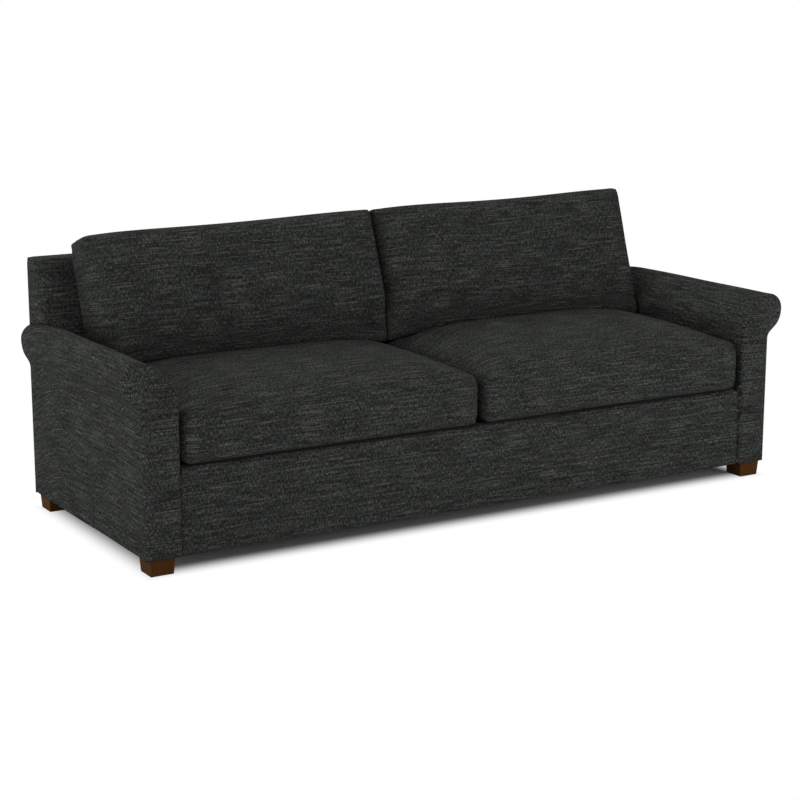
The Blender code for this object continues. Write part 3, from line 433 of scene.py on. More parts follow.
materials = {
    "fabric": makeCharcoalFabric(),
    "leg_wood": makeLegWood(),
    "frame_wood": makeTimber("frameTimber", (0.40, 0.26, 0.14), (0.62, 0.45, 0.27),
                             pitch=0.013, alongFibres=6.0),
    "plywood": makeTimber("plywoodBoard", (0.50, 0.36, 0.21), (0.68, 0.53, 0.35),
                          pitch=0.0026, alongFibres=9.0),
    "foam": makeFoam("creamFoam", (0.76, 0.71, 0.56), cells=420.0),
    "fibre": makeFoam("fibrePad", (0.60, 0.60, 0.58), cells=900.0),
    "webbing": makeWebbing(),
    "lining": makeLining(),
    "spring_steel": makeSteel("springWire", (0.34, 0.34, 0.35), roughness=0.34),
    "zinc": makeSteel("zincPlate", (0.62, 0.63, 0.66), roughness=0.34),
    "zip": makeFoam("zipTape", (0.030, 0.030, 0.031), cells=1500.0),
}
for row in frame["record"]["subparts"]:
    for slot in frame["nodes"][row["node"]].material_slots:
        slot.material = materials[row["material_slot"]]
print("materials made:", len(materials))


# Meshes from numpy grids

weld = {"doubled": 0.00002, "degenerate": 0.000005}


def meshFrom(name, points, quads, flat, surface):
    # A mesh object from points (n, 3), quads (m, 4) and each quad corner's flat place in
    # metres (m, 4, 2), kept as the UV map that the weave follows.
    mesh = bpy.data.meshes.new(name)
    mesh.vertices.add(len(points))
    mesh.vertices.foreach_set("co", np.ascontiguousarray(points, np.float32).ravel())
    mesh.loops.add(quads.size)
    mesh.loops.foreach_set("vertex_index", np.ascontiguousarray(quads, np.int32).ravel())
    mesh.polygons.add(len(quads))
    mesh.polygons.foreach_set("loop_start", np.arange(0, quads.size, 4, dtype=np.int32))
    mesh.polygons.foreach_set("use_smooth", np.ones(len(quads), bool))
    layer = mesh.uv_layers.new(name="weave")
    layer.data.foreach_set("uv", np.ascontiguousarray(flat, np.float32).ravel())
    mesh.update(calc_edges=True)
    mesh.validate()
    mesh.materials.append(surface)
    made = bpy.data.objects.new(name, mesh)
    scene.collection.objects.link(made)
    return made


def gridQuads(rows, columns):
    # The quads of a grid of rows by columns points, numbered row by row.
    index = np.arange(rows * columns).reshape(rows, columns)
    return np.stack([index[:-1, :-1], index[:-1, 1:], index[1:, 1:], index[1:, :-1]],
                    -1).reshape(-1, 4)


def gridPiece(name, points, flat, surface):
    # One grid of points (rows, columns, 3), with flat (rows, columns, 2), as an object.
    quads = gridQuads(*points.shape[:2])
    return meshFrom(name, points.reshape(-1, 3), quads, flat.reshape(-1, 2)[quads], surface)


def weldAndTurnOut(piece, openSheet=False):
    # Merges doubled points and turns the faces outwards. An open sheet is turned so that its
    # faces, by area, look away from the mean of its points.
    shape = bmesh.new()
    shape.from_mesh(piece.data)
    bmesh.ops.remove_doubles(shape, verts=shape.verts, dist=weld["doubled"])
    bmesh.ops.recalc_face_normals(shape, faces=shape.faces)
    if openSheet:
        middle = sum((v.co for v in shape.verts), Vector()) / len(shape.verts)
        outside = sum(f.calc_area() * f.normal.dot(f.calc_center_median() - middle)
                      for f in shape.faces)
        if outside < 0:
            bmesh.ops.reverse_faces(shape, faces=shape.faces)
    shape.to_mesh(piece.data)
    shape.free()


def joinPieces(name, pieces):
    # Several meshes as one piece, with doubled points merged.
    shape = bmesh.new()
    for piece in pieces:
        shape.from_mesh(piece.data)
    bmesh.ops.remove_doubles(shape, verts=shape.verts, dist=weld["doubled"])
    bmesh.ops.dissolve_degenerate(shape, edges=shape.edges, dist=weld["degenerate"])
    bmesh.ops.recalc_face_normals(shape, faces=shape.faces)
    kept = pieces[0]
    shape.to_mesh(kept.data)
    shape.free()
    for piece in pieces[1:]:
        old = piece.data
        bpy.data.objects.remove(piece)
        bpy.data.meshes.remove(old)
    kept.name = kept.data.name = name
    return kept


def turnOver(piece):
    # The piece on the other side of the sofa, in place.
    piece.data.transform(Matrix.Scale(-1, 4, (1, 0, 0)))
    piece.data.flip_normals()


def applyModifiers(piece):
    graph = bpy.context.evaluated_depsgraph_get()
    made = bpy.data.meshes.new_from_object(piece.evaluated_get(graph), depsgraph=graph,
                                           preserve_all_data_layers=True)
    old = piece.data
    piece.modifiers.clear()
    piece.data = made
    bpy.data.meshes.remove(old)


def subdivide(piece):
    step = piece.modifiers.new("subdivision", "SUBSURF")
    step.levels = step.render_levels = 1


def thicken(piece, thickness):
    # A cloth wall inwards from the modelled surface.
    step = piece.modifiers.new("wall", "SOLIDIFY")
    step.thickness = thickness
    step.offset = -1.0


def smoothStep(t):
    # From 0 to 1, level at both ends: three times the square less twice the cube.
    t = np.clip(t, 0.0, 1.0)
    return t * t * (3 - 2 * t)


def readVectors(rows, key):
    values = np.empty(len(rows) * 3, np.float32)
    rows.foreach_get(key, values)
    return values.reshape(-1, 3).astype(float)


def getPoints(mesh):
    return readVectors(mesh.vertices, "co")


def getNormals(mesh):
    return readVectors(mesh.vertex_normals, "vector")


def setPoints(mesh, points):
    mesh.vertices.foreach_set("co", np.ascontiguousarray(points, np.float32).ravel())
    mesh.update()


def declareUpholstery(piece, rides, fill, *nodes):
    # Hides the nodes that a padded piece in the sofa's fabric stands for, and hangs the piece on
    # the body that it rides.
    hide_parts(*nodes)
    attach(piece, rides)


# Sizes that several pieces share

body = {
    "halfWidth": 1.150,
    "front": -0.453,
    "rear": 0.453,
    "bottom": 0.049,
    "armInner": 1.037,
    "backHeight": 0.816,
    "backTop": 0.071,
    "lean": math.radians(19.5),
    "seatFoot": 0.3124,
    "gap": 0.0004,
}


def backY(z):
    # Y of the leaning inside back at height z.
    return body["rear"] - body["backTop"] - (body["backHeight"] - z) * math.tan(body["lean"])


def lengthAlong(points):
    # Distance along rows of points (..., n, k) from each row's first point.
    steps = np.linalg.norm(np.diff(points, axis=-2), axis=-1)
    return np.concatenate([np.zeros((*steps.shape[:-1], 1)), np.cumsum(steps, -1)], -1)


def edgeSpread(count):
    # Places from 0 to 1, closer together at both ends: half a cosine.
    return (1 - np.cos(np.linspace(0, math.pi, count))) / 2


def arc(middle, radii, angles):
    # Points of an ellipse about its middle, at angles from its first axis to its second.
    return np.stack([middle[0] + radii[0] * np.cos(angles),
                     middle[1] + radii[1] * np.sin(angles)], 1)


def evenOut(outline, count, soft):
    # The outline at count even steps of its length, each point then the average of its
    # neighbours within the length soft under a raised cosine. The ends stay.
    run = lengthAlong(outline)
    places = np.linspace(0, run[-1], count)
    even = np.stack([np.interp(places, run, outline[:, i]) for i in (0, 1)], 1)
    reach = max(int(round(soft / run[-1] * (count - 1))), 1)
    window = np.hanning(2 * reach + 3)[1:-1]
    window /= window.sum()
    longer = np.concatenate([2 * even[0] - even[reach:0:-1], even,
                             2 * even[-1] - even[-2:-reach - 2:-1]])
    return np.stack([np.convolve(longer[:, i], window, "valid") for i in (0, 1)], 1)


def sway(points, own, seed):
    # Slow unevenness of a covered surface: three crossed sine waves of unlike pitch.
    x, y, z = (points[..., i] / own["swayPitch"] for i in range(3))
    return own["unevenness"] * (np.sin(6.3 * x + 2.1 * y + seed)
                                * np.cos(3.7 * z - 1.9 * y + seed * 1.7)
                                + 0.6 * np.sin(9.1 * y + 4.3 * z + seed * 0.6)
                                + 0.4 * np.sin(11.7 * z - 5.2 * x + seed * 2.3))


# Arms: an outline carried along y, drawn in at the rear

arm = {
    "full": {"top": 0.6305, "radius": 0.0530, "lower": 0.071, "proud": 0.0575,
             "turn": math.radians(70), "footRun": 0.0205},
    "rear": {
        "left": {"top": 0.6035, "radius": 0.047, "lower": 0.083, "proud": 0.0275,
                 "turn": math.radians(57), "footRun": 0.0160},
        "right": {"top": 0.612, "radius": 0.048, "lower": 0.087, "proud": 0.0255,
                  "turn": math.radians(50), "footRun": 0.0160},
    },
    "shoulder": 0.107,
    "flatness": 1.5,        # power of the shoulder's curve: 2 would be an ellipse
    "drawnIn": {"left": 0.340, "right": 0.200},     # length over which the roll is drawn in
    "panel": 0.013,         # depth of the front panel
    "cap": 0.005,           # depth of the closed rear end
    "hem": 0.3105,
    "edge": 0.006,          # radius of the lower edge
    "under": 0.018,         # turned under the frame
    "wall": 0.0045,
    "seam": 0.0012,         # depth of the valley at a seam
    "curlRun": (0.0, 0.0006, 0.0018, 0.0036),   # distances from an end, and the shares of the
    "curlDepth": (1.0, 0.45, 0.12, 0.0),        # seam's depth by which the wrap is drawn in
    "straight": 0.010,      # the even rows start this far from an end
    "soft": 0.007,          # length over which the outline's corners are eased
    "unevenness": 0.0008,
    "swayPitch": 0.55,
    "calm": 0.05,           # the unevenness dies out over this way to an end
    "seed": {"left": 0.0, "right": 2.4},
    "weaveFrom": {"left": 5.2, "right": 7.9, "panel": 0.4},
    "capFace": 0.0043,      # the closed rear end stands this far inside the rear
    "panelCrown": 0.0015,
    "crownRun": 0.045,      # from a panel's edge to its full crown
    # how many points lie along each stretch, and up and across a panel
    "points": {"shoulder": 40, "roll": 60, "edge": 6, "bareOutline": 170, "outline": 190,
               "length": 68, "panel": (120, 30)},
}


def armOutline(form, hem=None):
    # Outline (x, z) of the right arm from its hem: straight up the inner face, a quarter of a
    # flattened ellipse over the shoulder, the roll's upper quarter circle and its lower, taller
    # arc, a slope in to the outside, straight down, and round the lower edge to a little way
    # under. A panel's outline, without a hem, starts and ends at the bottom corners.
    half, bottom, edge = body["halfWidth"], body["bottom"], arm["edge"]
    centreX, centreZ = half + form["proud"] - form["radius"], form["top"] - form["radius"]
    shoulderZ = form["top"] - arm["shoulder"]
    power, points = 2 / arm["flatness"], arm["points"]
    inner = np.array([[body["armInner"], bottom if hem is None else hem]])
    a = np.linspace(0, math.pi / 2, points["shoulder"])
    shoulder = np.stack([centreX - (centreX - body["armInner"]) * np.abs(np.cos(a)) ** power,
                         shoulderZ + arm["shoulder"] * np.sin(a) ** power], 1)
    a = np.linspace(math.pi / 2, -form["turn"], points["roll"])[1:]
    tall = np.where(a > 0, form["radius"], form["lower"])
    roll = arc((centreX, centreZ), (form["radius"], tall), a)
    foot = centreZ - form["lower"] * math.sin(form["turn"]) - form["footRun"]
    parts = [inner, shoulder, roll, [[half, foot]]]
    if hem is None:
        parts.append([[half, bottom]])
        return evenOut(np.concatenate(parts), points["bareOutline"], arm["soft"])
    a = np.linspace(0, -math.pi / 2, points["edge"])
    parts.append(arc((half - edge, bottom + edge), (edge, edge), a))
    parts.append([[half - edge - arm["under"], bottom]])
    return evenOut(np.concatenate(parts), points["outline"], arm["soft"])


def armSections(y, side, hem=None):
    # The outline at each y: the full form mixed with the drawn-in one by the square of the
    # way along the last stretch.
    drawnIn = arm["drawnIn"][side]
    share = np.clip((y - body["rear"] + arm["cap"] + drawnIn) / drawnIn, 0, 1)
    share = share[:, None, None] ** 2
    return armOutline(arm["full"], hem) * (1 - share) + armOutline(arm["rear"][side], hem) * share


def moveOut(sections, distance):
    # Outlines (rows, n, 2) moved out along their own normals.
    ahead = np.gradient(sections, axis=1)
    normal = np.stack([-ahead[..., 1], ahead[..., 0]], -1)
    normal /= np.linalg.norm(normal, axis=-1, keepdims=True)
    return sections + normal * distance


def placeSections(sections, y, sign=1):
    # Points (rows, n, 3) of the outlines (x, z) at each y, on the side that sign gives.
    along = np.broadcast_to(y[:, None], sections.shape[:2])
    return np.stack([sign * sections[..., 0], along, sections[..., 1]], -1)


def makeArmWrap(side):
    # The outline carried along y and moved out by the surface's unevenness; both ends curl
    # in by a seam's depth over a few millimetres. The weft lies along the arm.
    front = body["front"] + arm["panel"] + body["gap"]
    rear = body["rear"] - arm["cap"] - body["gap"] * 10
    curl, ends = np.array(arm["curlRun"]), arm["straight"]
    along = np.linspace(front + ends, rear - ends, arm["points"]["length"])
    y = np.concatenate([front + curl, along, rear - curl[::-1]])
    turned = np.zeros(len(y))
    turned[:len(curl)] = turned[-len(curl):][::-1] = arm["seam"] * np.array(arm["curlDepth"])
    sections = armSections(y, side, arm["hem"])
    calm = smoothStep((y - front) / arm["calm"]) * smoothStep((rear - y) / arm["calm"])
    uneven = sway(placeSections(sections, y), arm, arm["seed"][side])
    uneven = uneven * calm[:, None] - turned[:, None]
    points = placeSections(moveOut(sections, uneven[..., None]), y)
    girth = lengthAlong(points[..., ::2])
    flat = np.stack([points[..., 1] + arm["weaveFrom"][side], girth], -1)
    wrap = gridPiece(side + "_arm_wrap", points, flat, materials["fabric"])
    weldAndTurnOut(wrap, openSheet=True)
    thicken(wrap, arm["wall"])
    applyModifiers(wrap)
    return wrap


def outlineDistance(points, outline):
    # Distance of points (n, 2) from a closed outline (m, 2): the least over its segments,
    # with the foot of each perpendicular held within its segment.
    start, run = outline, np.roll(outline, -1, 0) - outline
    offset = points[:, None] - start[None]
    share = np.clip((offset * run).sum(-1) / np.maximum((run ** 2).sum(-1), 1e-12), 0, 1)
    return np.sqrt(((offset - share[..., None] * run) ** 2).sum(-1)).min(1)


def makeEndPanel(name, form, faceY, depth, crown):
    # A padded panel with the arm's outline. Rows from the bottom to the top run from the inner
    # to the outer edge; the face lies back near the edge by a quarter circle and swells by
    # crown towards the middle; the flat back closes it.
    outline = armOutline(form)
    top = int(np.argmax(outline[:, 1]))
    up, over = arm["points"]["panel"]
    rows = body["bottom"] + (outline[top, 1] - body["bottom"]) * edgeSpread(up)
    inner, outer = outline[:top + 1], outline[top:][::-1]
    left = np.interp(rows, inner[:, 1], inner[:, 0])
    right = np.interp(rows, outer[:, 1], outer[:, 0])
    right[-1] = left[-1] = outline[top, 0]
    across = edgeSpread(over)
    x = left[:, None] + (right - left)[:, None] * across
    z = np.broadcast_to(rows[:, None], x.shape)
    away = outlineDistance(np.stack([x, z], -1).reshape(-1, 2), outline).reshape(x.shape)
    away[0], away[-1], away[:, 0], away[:, -1] = 0, 0, 0, 0
    rounding = 1 - np.sqrt(1 - (1 - np.clip(away / depth, 0, 1)) ** 2)
    out = math.copysign(1.0, faceY)
    raised = crown * smoothStep(away / arm["crownRun"])
    face = faceY - out * depth * rounding + out * (raised - crown)
    flat = np.stack([x + arm["weaveFrom"]["panel"], z], -1)
    pieces = []
    for depths, word in ((face, "_face"), (np.full_like(x, faceY - out * depth), "_back")):
        pieces.append(gridPiece(name + word, np.stack([x, depths, z], -1), flat,
                                materials["fabric"]))
    return joinPieces(name, pieces)


for side in ("left", "right"):
    wrap = makeArmWrap(side)
    rearCap = makeEndPanel(side + "_arm_cap", arm["rear"][side],
                           body["rear"] - arm["capFace"], arm["cap"], 0.0)
    wrap = joinPieces(side + "_arm_upholstery", [wrap, rearCap])
    panel = makeEndPanel(side + "_arm_front_upholstery", arm["full"], body["front"],
                         arm["panel"], arm["panelCrown"])
    if side == "left":
        turnOver(wrap)
        turnOver(panel)
    declareUpholstery(wrap, "root", 0.9, side + "_arm_cover", side + "_arm_pad")
    declareUpholstery(panel, "root", 0.9, side + "_arm_front_panel")
print("arms made")


# Boxes with rounded edges, for cushions and panels

def gridLines(length, step, beside=(0.0,)):
    # Places of the grid lines along a side: those beside both of its edges, and even steps.
    steps = max(int(round((length - 2 * beside[-1]) / step)), 2)
    even = np.linspace(beside[-1], length - beside[-1], steps + 1)
    return np.concatenate([beside[:-1], even, length - np.array(beside[:-1])[::-1]])


def boxLattice(counts):
    # Points of a block's surface in steps from 0 to counts, each once; its quads; and each
    # quad's side as (axis, end). All six sides are index grids, and np.unique joins them.
    corners, sides = [], []
    for axis in range(3):
        one, two = (axis + 1) % 3, (axis + 2) % 3
        a, b = np.meshgrid(np.arange(counts[one]), np.arange(counts[two]), indexing="ij")
        for end in (0, 1):
            quad = np.zeros((a.size, 4, 3), int)
            turn = ((0, 0), (1, 0), (1, 1), (0, 1)) if end else ((0, 0), (0, 1), (1, 1), (1, 0))
            for corner, (da, db) in enumerate(turn):
                quad[:, corner, axis] = end * counts[axis]
                quad[:, corner, one] = a.ravel() + da
                quad[:, corner, two] = b.ravel() + db
            corners.append(quad)
            sides.append(np.tile([axis, end], (a.size, 1)))
    corners = np.concatenate(corners)
    lattice, quads = np.unique(corners.reshape(-1, 3), axis=0, return_inverse=True)
    return lattice, quads.reshape(-1, 4), np.concatenate(sides)


def roundPair(points, half, axes, radii):
    # Box points (n, 3) about their middle with the edges rounded that two axes share: a point
    # within a radius of an edge is laid on the ellipse round the nearest point of the inner
    # rectangle. Each of the two radii is a number or one per point, so that edges may differ.
    axes = list(axes)
    pair = points[:, axes]
    radii = np.stack([np.broadcast_to(radius, len(points)) for radius in radii], 1)
    limit = half[axes] - radii
    inner = np.clip(pair, -limit, limit)
    away = (pair - inner) / radii
    length = np.linalg.norm(away, axis=1, keepdims=True)
    reach = np.abs(away).max(1, keepdims=True)
    rounded = points.copy()
    rounded[:, axes] = inner + radii * away / np.maximum(length, 1e-9) * reach
    return rounded


def boxFlat(place, quads, sides, shift, size, wrapped):
    # Flat places of each quad's corners, by its side: the weft lies along x on panels and
    # walls that have it, and along the wall's length on the two ends. On a wrapped box the
    # front's weft runs on round the ends.
    flat = np.empty((len(quads), 4, 2))
    for axis, (one, two) in enumerate(((1, 2), (0, 2), (0, 1))):
        mask = sides[:, 0] == axis
        corner = place[quads[mask]]
        flat[mask] = np.stack([corner[..., one], corner[..., two]], -1)
        flat[mask] += np.array(shift) + 1.7 * axis + 0.9 * sides[mask][:, 1][:, None, None]
    if wrapped:
        mask = sides[:, 0] == 0
        corner, end = place[quads[mask]], sides[mask][:, 1][:, None]
        behind = size[2] - corner[..., 2]
        along = np.where(end == 1, size[0] + behind, -behind)
        flat[mask] = np.stack([along, corner[..., 1]], -1) + np.array(shift) + 1.7 * 2 + 0.9
    return flat


class Box:
    # A block's grid for one cushion or panel, about its middle, with its flat places.

    def __init__(self, half, step, shift, beside=(0.0,), wrapped=False):
        self.half = np.array(half)
        lines = [gridLines(2 * h, s, beside) for h, s in zip(half, step)]
        self.counts = np.array([len(line) - 1 for line in lines])
        self.lattice, self.quads, self.sides = boxLattice(self.counts)
        place = np.stack([lines[axis][self.lattice[:, axis]] for axis in range(3)], 1)
        self.sharp = place - self.half
        self.unit = self.sharp / self.half
        self.flat = boxFlat(place, self.quads, self.sides, shift, 2 * self.half, wrapped)

    def rounded(self, *pairs):
        # The box after each pair's rounding in turn: (axes, radii).
        points = self.sharp
        for axes, radii in pairs:
            points = roundPair(points, self.half, axes, radii)
        return points

    def piece(self, name, points, keep=slice(None)):
        return meshFrom(name, points, self.quads[keep], self.flat[keep], materials["fabric"])

    def onSeam(self):
        # Points on the two seams that run round the panels at both ends of the third axis.
        atEnd = (self.lattice == 0) | (self.lattice == self.counts)
        return atEnd[:, 2] & (atEnd[:, 0] | atEnd[:, 1])


# Cushions: fitted forms, blown up as cloth; the seat cushions then sewn

cloth = {
    "frames": 20,
    "pressure": 4.0,
    "smaller": 0.006,       # the cloth starts this far inside the form
    "cap": 0.024,           # farthest that a point may move
    "kept": 0.30,           # share of the cloth's departure from the form that is kept
    "keptCap": 0.006,
    "tension": 15.0,
    "bending": 0.5,
    "mass": 0.3,
}
seam = {
    "beside": (0.0, 0.0045, 0.0105),    # grid lines beside a seam
    "depth": 0.0013,
    "pucker": 0.0005,
    "stitch": 0.021,        # length of a pucker
}


def plump(piece, resting):
    # The form, a little smaller, blown up as cloth with gravity off and its resting side held;
    # no point moves farther than the cap. The piece then takes a share of the way from its
    # form to the cloth, up to a second cap, so that its outline stays.
    mesh = piece.data
    form = getPoints(mesh)
    start = form - getNormals(mesh) * cloth["smaller"]
    setPoints(mesh, start)
    group = piece.vertex_groups.new(name="resting")
    group.add(np.flatnonzero(resting).tolist(), 1.0, "REPLACE")
    step = piece.modifiers.new("cloth", "CLOTH")
    settings = step.settings
    settings.mass = cloth["mass"]
    settings.tension_stiffness = settings.compression_stiffness = cloth["tension"]
    settings.bending_stiffness = cloth["bending"]
    settings.use_pressure = True
    settings.uniform_pressure_force = cloth["pressure"]
    settings.effector_weights.gravity = 0.0
    settings.vertex_group_mass = "resting"
    step.point_cache.frame_end = cloth["frames"]
    for number in range(1, cloth["frames"] + 1):
        scene.frame_set(number)
    blown = getPoints(piece.evaluated_get(bpy.context.evaluated_depsgraph_get()).data)
    piece.modifiers.remove(step)
    piece.vertex_groups.remove(group)
    scene.frame_set(1)
    move = capped(blown - start, cloth["cap"])
    setPoints(mesh, form + capped((start + move - form) * cloth["kept"], cloth["keptCap"]))


def capped(move, cap):
    # Moves (n, 3), none longer than the cap.
    length = np.linalg.norm(move, axis=1, keepdims=True)
    return move * np.minimum(1.0, cap / np.maximum(length, 1e-9))


def sewSeams(piece, onSeam):
    # A valley along the seams, deeper and shallower by a sine of the place along them.
    mesh = piece.data
    points, normals = getPoints(mesh), getNormals(mesh)
    along = points.sum(1) / seam["stitch"] * math.tau
    depth = seam["depth"] + seam["pucker"] * np.sin(along) * np.sin(along * 0.37 + 1.1)
    points[onSeam] -= (normals * depth[:, None])[onSeam]
    setPoints(mesh, points)


seat = {
    "left": {"inner": -0.0105, "crown": 0.045, "power": 5.0, "weaveFrom": (0.0, 0.11)},
    "right": {"inner": -0.0065, "crown": 0.062, "power": 4.0, "weaveFrom": (0.74, 0.11)},
    "fill": 0.75,
    "outer": 1.0335,
    "front": -0.453,
    "proud": 0.010,         # most that it may stand out in front
    "rear": 0.2030,
    "rearWall": 0.2015,     # the zip stands a little proud of it
    "foot": 0.3124,
    "thickness": 0.164,
    "crownAt": 0.62,        # share of the depth at which the crown is full
    "frontPower": 2.6,      # powers of its curves before and behind that
    "rearPower": 4,
    "rest": 0.0240,         # crown that is left under the back cushion
    "restFrom": 0.092,
    "restTo": 0.150,
    "edge": 0.034,          # radius over the top edges
    "lowEdge": 0.030,
    "corner": 0.038,        # radius of the upright corners
    "topCorner": 0.034,
    "lowCorner": 0.038,
    "bulge": 0.0060,
    "draw": 0.0060,
    "wallPowers": (4, 6),   # of the swelling along the ends, and along the front and rear
    "step": (0.013, 0.013, 0.013),
}


def seatCrown(x, y, side):
    # Height of the crowned top over its seam: power curves across and along that stay high
    # up to the back cushion, then a smooth step down to what is left under it.
    own = seat[side]
    sign = 1 if side == "right" else -1
    outer, inner = sign * seat["outer"], own["inner"]
    u = (x - (outer + inner) / 2) / (abs(outer - inner) / 2)
    v = (y - seat["front"]) / (seat["rear"] - seat["front"])
    top = seat["crownAt"]
    along = 1 - np.clip(1 - v / top, 0, 1) ** seat["frontPower"]
    behind = 1 - np.clip((v - top) / (1 - top), 0, 1) ** seat["rearPower"]
    across = 1 - np.abs(np.clip(u, -1, 1)) ** own["power"]
    full = own["crown"] * along * behind * across
    under = smoothStep((y - seat["restFrom"]) / (seat["restTo"] - seat["restFrom"]))
    return full * (1 - under) + np.minimum(full, seat["rest"] * across) * under


def seatLimit(x, y):
    # Height of whichever seat cushion's top lies under a point.
    split = (seat["left"]["inner"] + seat["right"]["inner"]) / 2
    crown = np.where(x < split, seatCrown(x, y, "left"), seatCrown(x, y, "right"))
    return seat["foot"] + seat["thickness"] + crown


swell = {
    "outPower": 8,          # how close to the wall the swelling stays
    "drawPower": 6,
    "upPower": 0.8,         # power of the half sine between the seams
    "crownFrom": -0.2,      # height, in halves, from which the crown's rise sets in
}


def wallSwell(u, v, w, own, power):
    # How far a cushion's walls at both ends of u stand out: by half a sine between their
    # seams, less what the seams draw them in between the corners.
    between = np.cos(np.clip(w, -1, 1) * math.pi / 2) ** swell["upPower"]
    out = np.abs(u) ** swell["outPower"] * between * own["bulge"] * (1 - np.abs(v) ** power)
    return np.sign(u) * (out - np.abs(u) ** swell["drawPower"] * own["draw"] * (1 - v ** 2))


def crownShare(w):
    # From 0 low on a cushion's wall to 1 on its crowned side, by a square.
    return np.clip((w - swell["crownFrom"]) / (1 - swell["crownFrom"]), 0, 1) ** 2


def makeSeatCushion(side):
    # A box with rounded edges, swollen walls and a top that is raised by the crown.
    sign = 1 if side == "right" else -1
    low, high = sorted((sign * seat["outer"], seat[side]["inner"]))
    half = ((high - low) / 2, (seat["rear"] - seat["front"]) / 2, seat["thickness"] / 2)
    middle = np.array([(high + low) / 2, (seat["rear"] + seat["front"]) / 2,
                       seat["foot"] + half[2]])
    box = Box(half, seat["step"], seat[side]["weaveFrom"], seam["beside"])
    upper = box.unit[:, 2] > 0
    edge = np.where(upper, seat["edge"], seat["lowEdge"])
    corner = np.where(upper, seat["topCorner"], seat["lowCorner"])
    points = box.rounded(((0, 1), (seat["corner"], seat["corner"])), ((1, 2), (edge, edge)),
                         ((0, 2), (corner, corner)))
    u, v, w = (points / box.half).T
    points[:, 0] += wallSwell(u, v, w, seat, seat["wallPowers"][0])
    points[:, 1] += wallSwell(v, u, w, seat, seat["wallPowers"][1])
    points += middle
    points[:, 2] += seatCrown(points[:, 0], points[:, 1], side) * crownShare(w)
    piece = box.piece(side + "_seat_cushion_upholstery", points)
    plump(piece, box.lattice[:, 2] == 0)
    sewSeams(piece, box.onSeam())
    keepClear(piece, (low, body["front"] - seat["proud"], seat["foot"]),
              (high, seat["rearWall"], body["backHeight"]))
    return piece


def keepClear(piece, low, high):
    # Holds every point within a box, and in front of the inside back.
    points = getPoints(piece.data)
    points = np.clip(points, low, high)
    points[:, 1] = np.minimum(points[:, 1], backY(points[:, 2]) - body["gap"])
    setPoints(piece.data, points)


back = {
    # for each: the top line's heights at places from the left end, -1, to the right, 1; the
    # radius over the top edges, and over them at the outer end; how far that end leans out;
    # and at its outer and inner end the radii of the upright edge in front (across and
    # forward) and of the top corner
    "left": {"topAt": (-1.0, -0.875, -0.557, -0.21, 0.136, 0.483, 0.964),
             "topZ": (0.901, 0.9045, 0.9067, 0.9073, 0.9105, 0.9150, 0.9195),
             "topEdge": 0.036, "endEdge": 0.070, "outer": 1.0320, "flare": 0.0,
             "weaveFrom": (0.2, 0.71),
             "outerEnd": (0.060, 0.058, 0.018), "innerEnd": (0.012, 0.016, 0.010)},
    "right": {"topAt": (-0.99, -0.77, -0.387, 0.018, 0.509, 0.85, 1.0),
              "topZ": (0.918, 0.9235, 0.925, 0.9235, 0.9295, 0.9345, 0.9335),
              "topEdge": 0.030, "endEdge": 0.030, "outer": 1.0335, "flare": 0.0110,
              "weaveFrom": (1.26, 0.71),
              "outerEnd": (0.016, 0.024, 0.018), "innerEnd": (0.045, 0.045, 0.008)},
    "fill": 0.65,
    "inner": 0.0012,
    "foot": 0.5004,
    "height": 0.375,
    "thickness": 0.190,
    "topThickness": 0.150,
    "edgeDrop": 0.293,      # share of the top edges' radius by which they lower the top
    "crown": 0.022,
    "crownPower": (5, 3),   # of its curves across and up
    "belly": 0.02,          # height, in halves, below which the front turns back
    "bellyBlend": 0.70,
    "bellySlope": 0.112,
    "endTurn": -0.10,       # share of that slope at the outer end
    "turnPower": 4,         # how close to that end its own slope and lean stay
    "frontEdge": 0.058,
    "lowEdge": 0.120,
    "lowCorner": 0.008,
    "cornerWide": 1.2,      # a corner's width to its height
    "rearEdge": 0.024,
    "unevenness": 0.0018,
    "swayPitch": 0.30,
    "bulge": 0.004,
    "draw": 0.004,
    "wallPower": 4,
    "endPower": 8,          # how close to the outer end its top edge's own radius stays
    "lineDegree": 4,        # of the curve through the top line's heights
    "step": (0.013, 0.013, 0.013),
}


